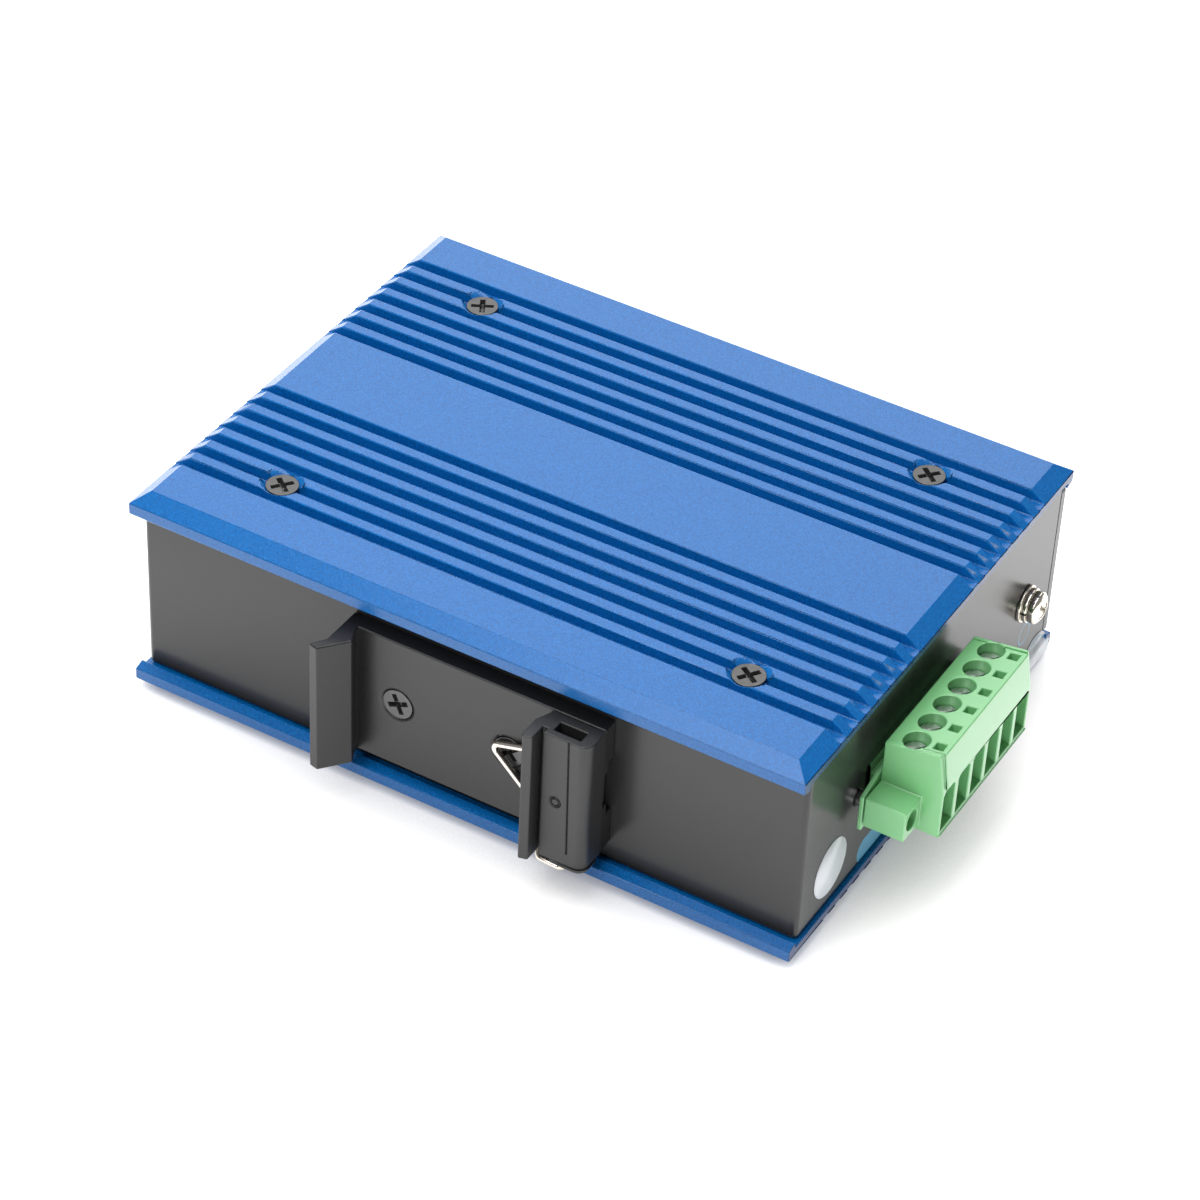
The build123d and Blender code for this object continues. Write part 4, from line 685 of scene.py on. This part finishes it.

# Wire spring: bright spring steel wire, bent to a V round the clip screw. Its upper leg runs
# under the jaw's lip and its lower leg hooks into the jaw's slot.
spring_steel = Finish("spring_steel", metallic=1.0)
wire_draw = spring_steel.noise(0.25, stretch=(8.0, 1.0, 8.0))
spring_steel.vary(
    base_color=spring_steel.mix(wire_draw, (0.70, 0.62, 0.54), (0.88, 0.82, 0.74)),
    roughness=0.14 + wire_draw * 0.12,
)
wire_radius = 0.55
wire_bend = 0.8
bend_steps = 12
wire_corners = [
    Vector((20.0, -46.6, 24.7)),
    Vector((7.7, -46.6, 21.0)),
    Vector((15.2, -46.6, 13.1)),
    Vector((17.6, -46.6, 6.6)),
    Vector((18.1, -49.0, 4.75)),
    Vector((22.5, -49.0, 4.35)),
    Vector((22.3, -49.0, 9.0)),
]
wire_line = [wire_corners[0]]
for before, corner, after in zip(wire_corners, wire_corners[1:], wire_corners[2:]):
    to_before, to_after = (before - corner).normalized(), (after - corner).normalized()
    half = to_before.angle(to_after) / 2
    centre = corner + (to_before + to_after).normalized() * wire_bend / sin(half)
    first = corner + to_before * wire_bend * cos(half) / sin(half)
    last = corner + to_after * wire_bend * cos(half) / sin(half)
    for step in range(bend_steps + 1):
        arm = (first - centre).slerp(last - centre, step / bend_steps)
        wire_line.append(centre + arm)
wire_line.append(wire_corners[-1])
wire_curve = bpy.data.curves.new("wire_line", "CURVE")
wire_curve.dimensions = "3D"
wire_curve.bevel_depth = wire_radius * MM
wire_curve.bevel_resolution = 6
wire_curve.use_fill_caps = True
wire_spline = wire_curve.splines.new("POLY")
wire_spline.points.add(len(wire_line) - 1)
for point, place in zip(wire_spline.points, wire_line):
    point.co = (*(place * MM), 1.0)
wire_path = bpy.data.objects.new("wire_path", wire_curve)
bpy.context.scene.collection.objects.link(wire_path)
wire_graph = bpy.context.evaluated_depsgraph_get()
wire_mesh = bpy.data.meshes.new_from_object(wire_path.evaluated_get(wire_graph))
bpy.data.objects.remove(wire_path)
for face in wire_mesh.polygons:
    face.use_smooth = True
wire_mesh.materials.clear()
wire_mesh.materials.append(spring_steel.material)
wire = bpy.data.objects.new("bent_wire_spring", wire_mesh)
bpy.context.scene.collection.objects.link(wire)
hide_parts("clip_spring")
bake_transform(wire)

# Labels on the end wall: two plain round stickers of white film. The second one laps over the
# edge of the lower side plate, and is trimmed at the plate's chamfer.
film_shades = ((0.66, 0.69, 0.73), (0.72, 0.75, 0.78))
lapped_y, lapped_z, lapped_radius = 40.7, 2.2, 4.5
label_white = Finish("label_white")
label_cloud = label_white.noise(3.0, detail=2.0)
label_white.vary(
    base_color=label_white.mix(label_cloud, *film_shades),
    roughness=0.28 + label_cloud * 0.10,
)
ringed_label = Finish("ringed_label")
ringed_cloud = ringed_label.noise(3.0, detail=2.0)
label_reach = ringed_label.distance(
    ringed_label.axis("Y") - lapped_y, ringed_label.axis("Z") - lapped_z
)
ringed_label.vary(
    base_color=ringed_label.mix(
        abs(label_reach - 3.75) < 0.10,
        ringed_label.mix(ringed_cloud, *film_shades),
        (0.20, 0.50, 0.68),
    ),
    roughness=0.28 + ringed_cloud * 0.10,
)


def film_label(name, middle, radius, finish, lowest=None):
    """A round film on the end wall. Below the wall it steps out over the edge of the plate."""
    plate_face, plate_top = 61.0, 3.5
    step_height = 1.0
    film = bmesh.new()
    disc = bmesh.ops.create_circle(film, cap_ends=True, segments=96, radius=radius * MM)
    for vert in disc["verts"]:
        across, up_wall = vert.co.x, vert.co.y
        vert.co = Vector((wall_face * MM, middle[0] * MM + across, middle[1] * MM + up_wall))
    if lowest is not None:
        for level in (lowest, *(plate_top + step_height * n / 4 for n in range(5))):
            bmesh.ops.bisect_plane(
                film,
                geom=film.verts[:] + film.edges[:] + film.faces[:],
                plane_co=Vector((0, 0, level)) * MM,
                plane_no=(0, 0, 1),
                clear_inner=level == lowest,
            )
        for vert in film.verts:
            fall = min(max((plate_top + step_height - vert.co.z / MM), 0.0), 1.0)
            vert.co.x += (plate_face - wall_face) * MM * fall * fall * (3 - 2 * fall)
    piece = piece_from(name, film, finish)
    film_sheet = piece.modifiers.new("thickness", "SOLIDIFY")
    film_sheet.thickness = 0.09 * MM
    film_sheet.offset = 0.0
    piece.location.x = 0.05 * MM
    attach(piece, "case")


film_label("round_label", (-32.9, 11.2), 5.15, label_white)
film_label("lapped_label", (lapped_y, lapped_z), lapped_radius, ringed_label, lowest=1.0)

# Stage: a white table in an overexposed white studio. The table glows a little, less so close
# under the object, which gives the soft contact shadow of such a photograph.
table_half = 3.0
table_mesh = bpy.data.meshes.new("table")
table_corners = [(-table_half, -table_half, 0), (table_half, -table_half, 0)]
table_corners += [(table_half, table_half, 0), (-table_half, table_half, 0)]
table_mesh.from_pydata(table_corners, [], [(0, 1, 2, 3)])
table = bpy.data.objects.new("table", table_mesh)
bpy.context.scene.collection.objects.link(table)
table_white = Finish("table_white", base_color=(0.42, 0.42, 0.42), roughness=0.75)
contact = table_white.node("ShaderNodeAmbientOcclusion", {"samples": 6}, {"Distance": 0.036}, output="AO")
near_object = contact * contact
table_white.vary(
    emission_color=table_white.mix(near_object, (0.10, 0.097, 0.095), (1.0, 1.0, 1.0)),
    emission_strength=1.75,
)
table_mesh.materials.append(table_white.material)

studio = bpy.data.worlds.new("studio")
studio.use_nodes = True
studio.node_tree.nodes["Background"].inputs["Color"].default_value = (1, 1, 1, 1)
studio.node_tree.nodes["Background"].inputs["Strength"].default_value = 0.25
bpy.context.scene.world = studio


def soft_light(name, place, aim, size, glow):
    """A rectangular softbox. Its glow is the brightness of its face."""
    lamp = bpy.data.lights.new(name, "AREA")
    lamp.shape = "RECTANGLE"
    lamp.size, lamp.size_y = size
    lamp.energy = glow * pi * size[0] * size[1]
    rig = bpy.data.objects.new(name, lamp)
    rig.location = place
    rig.rotation_mode = "QUATERNION"
    rig.rotation_quaternion = (Vector(aim) - Vector(place)).to_track_quat("-Z", "Y")
    rig.visible_camera = False
    bpy.context.scene.collection.objects.link(rig)


soft_light("overhead", (-0.055, -0.32, 0.5), (-0.055, -0.3201, 0.0), (0.33, 1.05), 4.4)
soft_light("back_left", (-0.35, 0.60, 0.45), (0, 0, 0.03), (0.9, 0.7), 1.95)

# Camera: long lens at the photograph's angle, from its rail-clip corner.
camera_azimuth = radians(28.83)
camera_elevation = radians(38.96)
camera_roll = radians(2.99)
camera_distance = 657.8 * MM
camera_offset = Vector((0.305, 11.36)) * MM
camera_lens = 118.6
back = Vector(
    (
        sin(camera_azimuth) * cos(camera_elevation),
        -cos(camera_azimuth) * cos(camera_elevation),
        sin(camera_elevation),
    )
)
level_right = Vector((cos(camera_azimuth), sin(camera_azimuth), 0))
level_up = back.cross(level_right)
right = level_right * cos(camera_roll) + level_up * sin(camera_roll)
up = level_up * cos(camera_roll) - level_right * sin(camera_roll)
camera_data = bpy.data.cameras.new("camera")
camera_data.sensor_width = 36.0
camera_data.lens = camera_lens
camera = bpy.data.objects.new("camera", camera_data)
camera.rotation_mode = "QUATERNION"
camera.rotation_quaternion = Matrix((right, up, back)).transposed().to_quaternion()
camera.location = right * camera_offset.x + up * camera_offset.y + back * camera_distance
camera_data.clip_start = 0.05
camera_data.clip_end = 20.0
bpy.context.scene.collection.objects.link(camera)
bpy.context.scene.camera = camera
bpy.context.scene.view_settings.view_transform = "Standard"
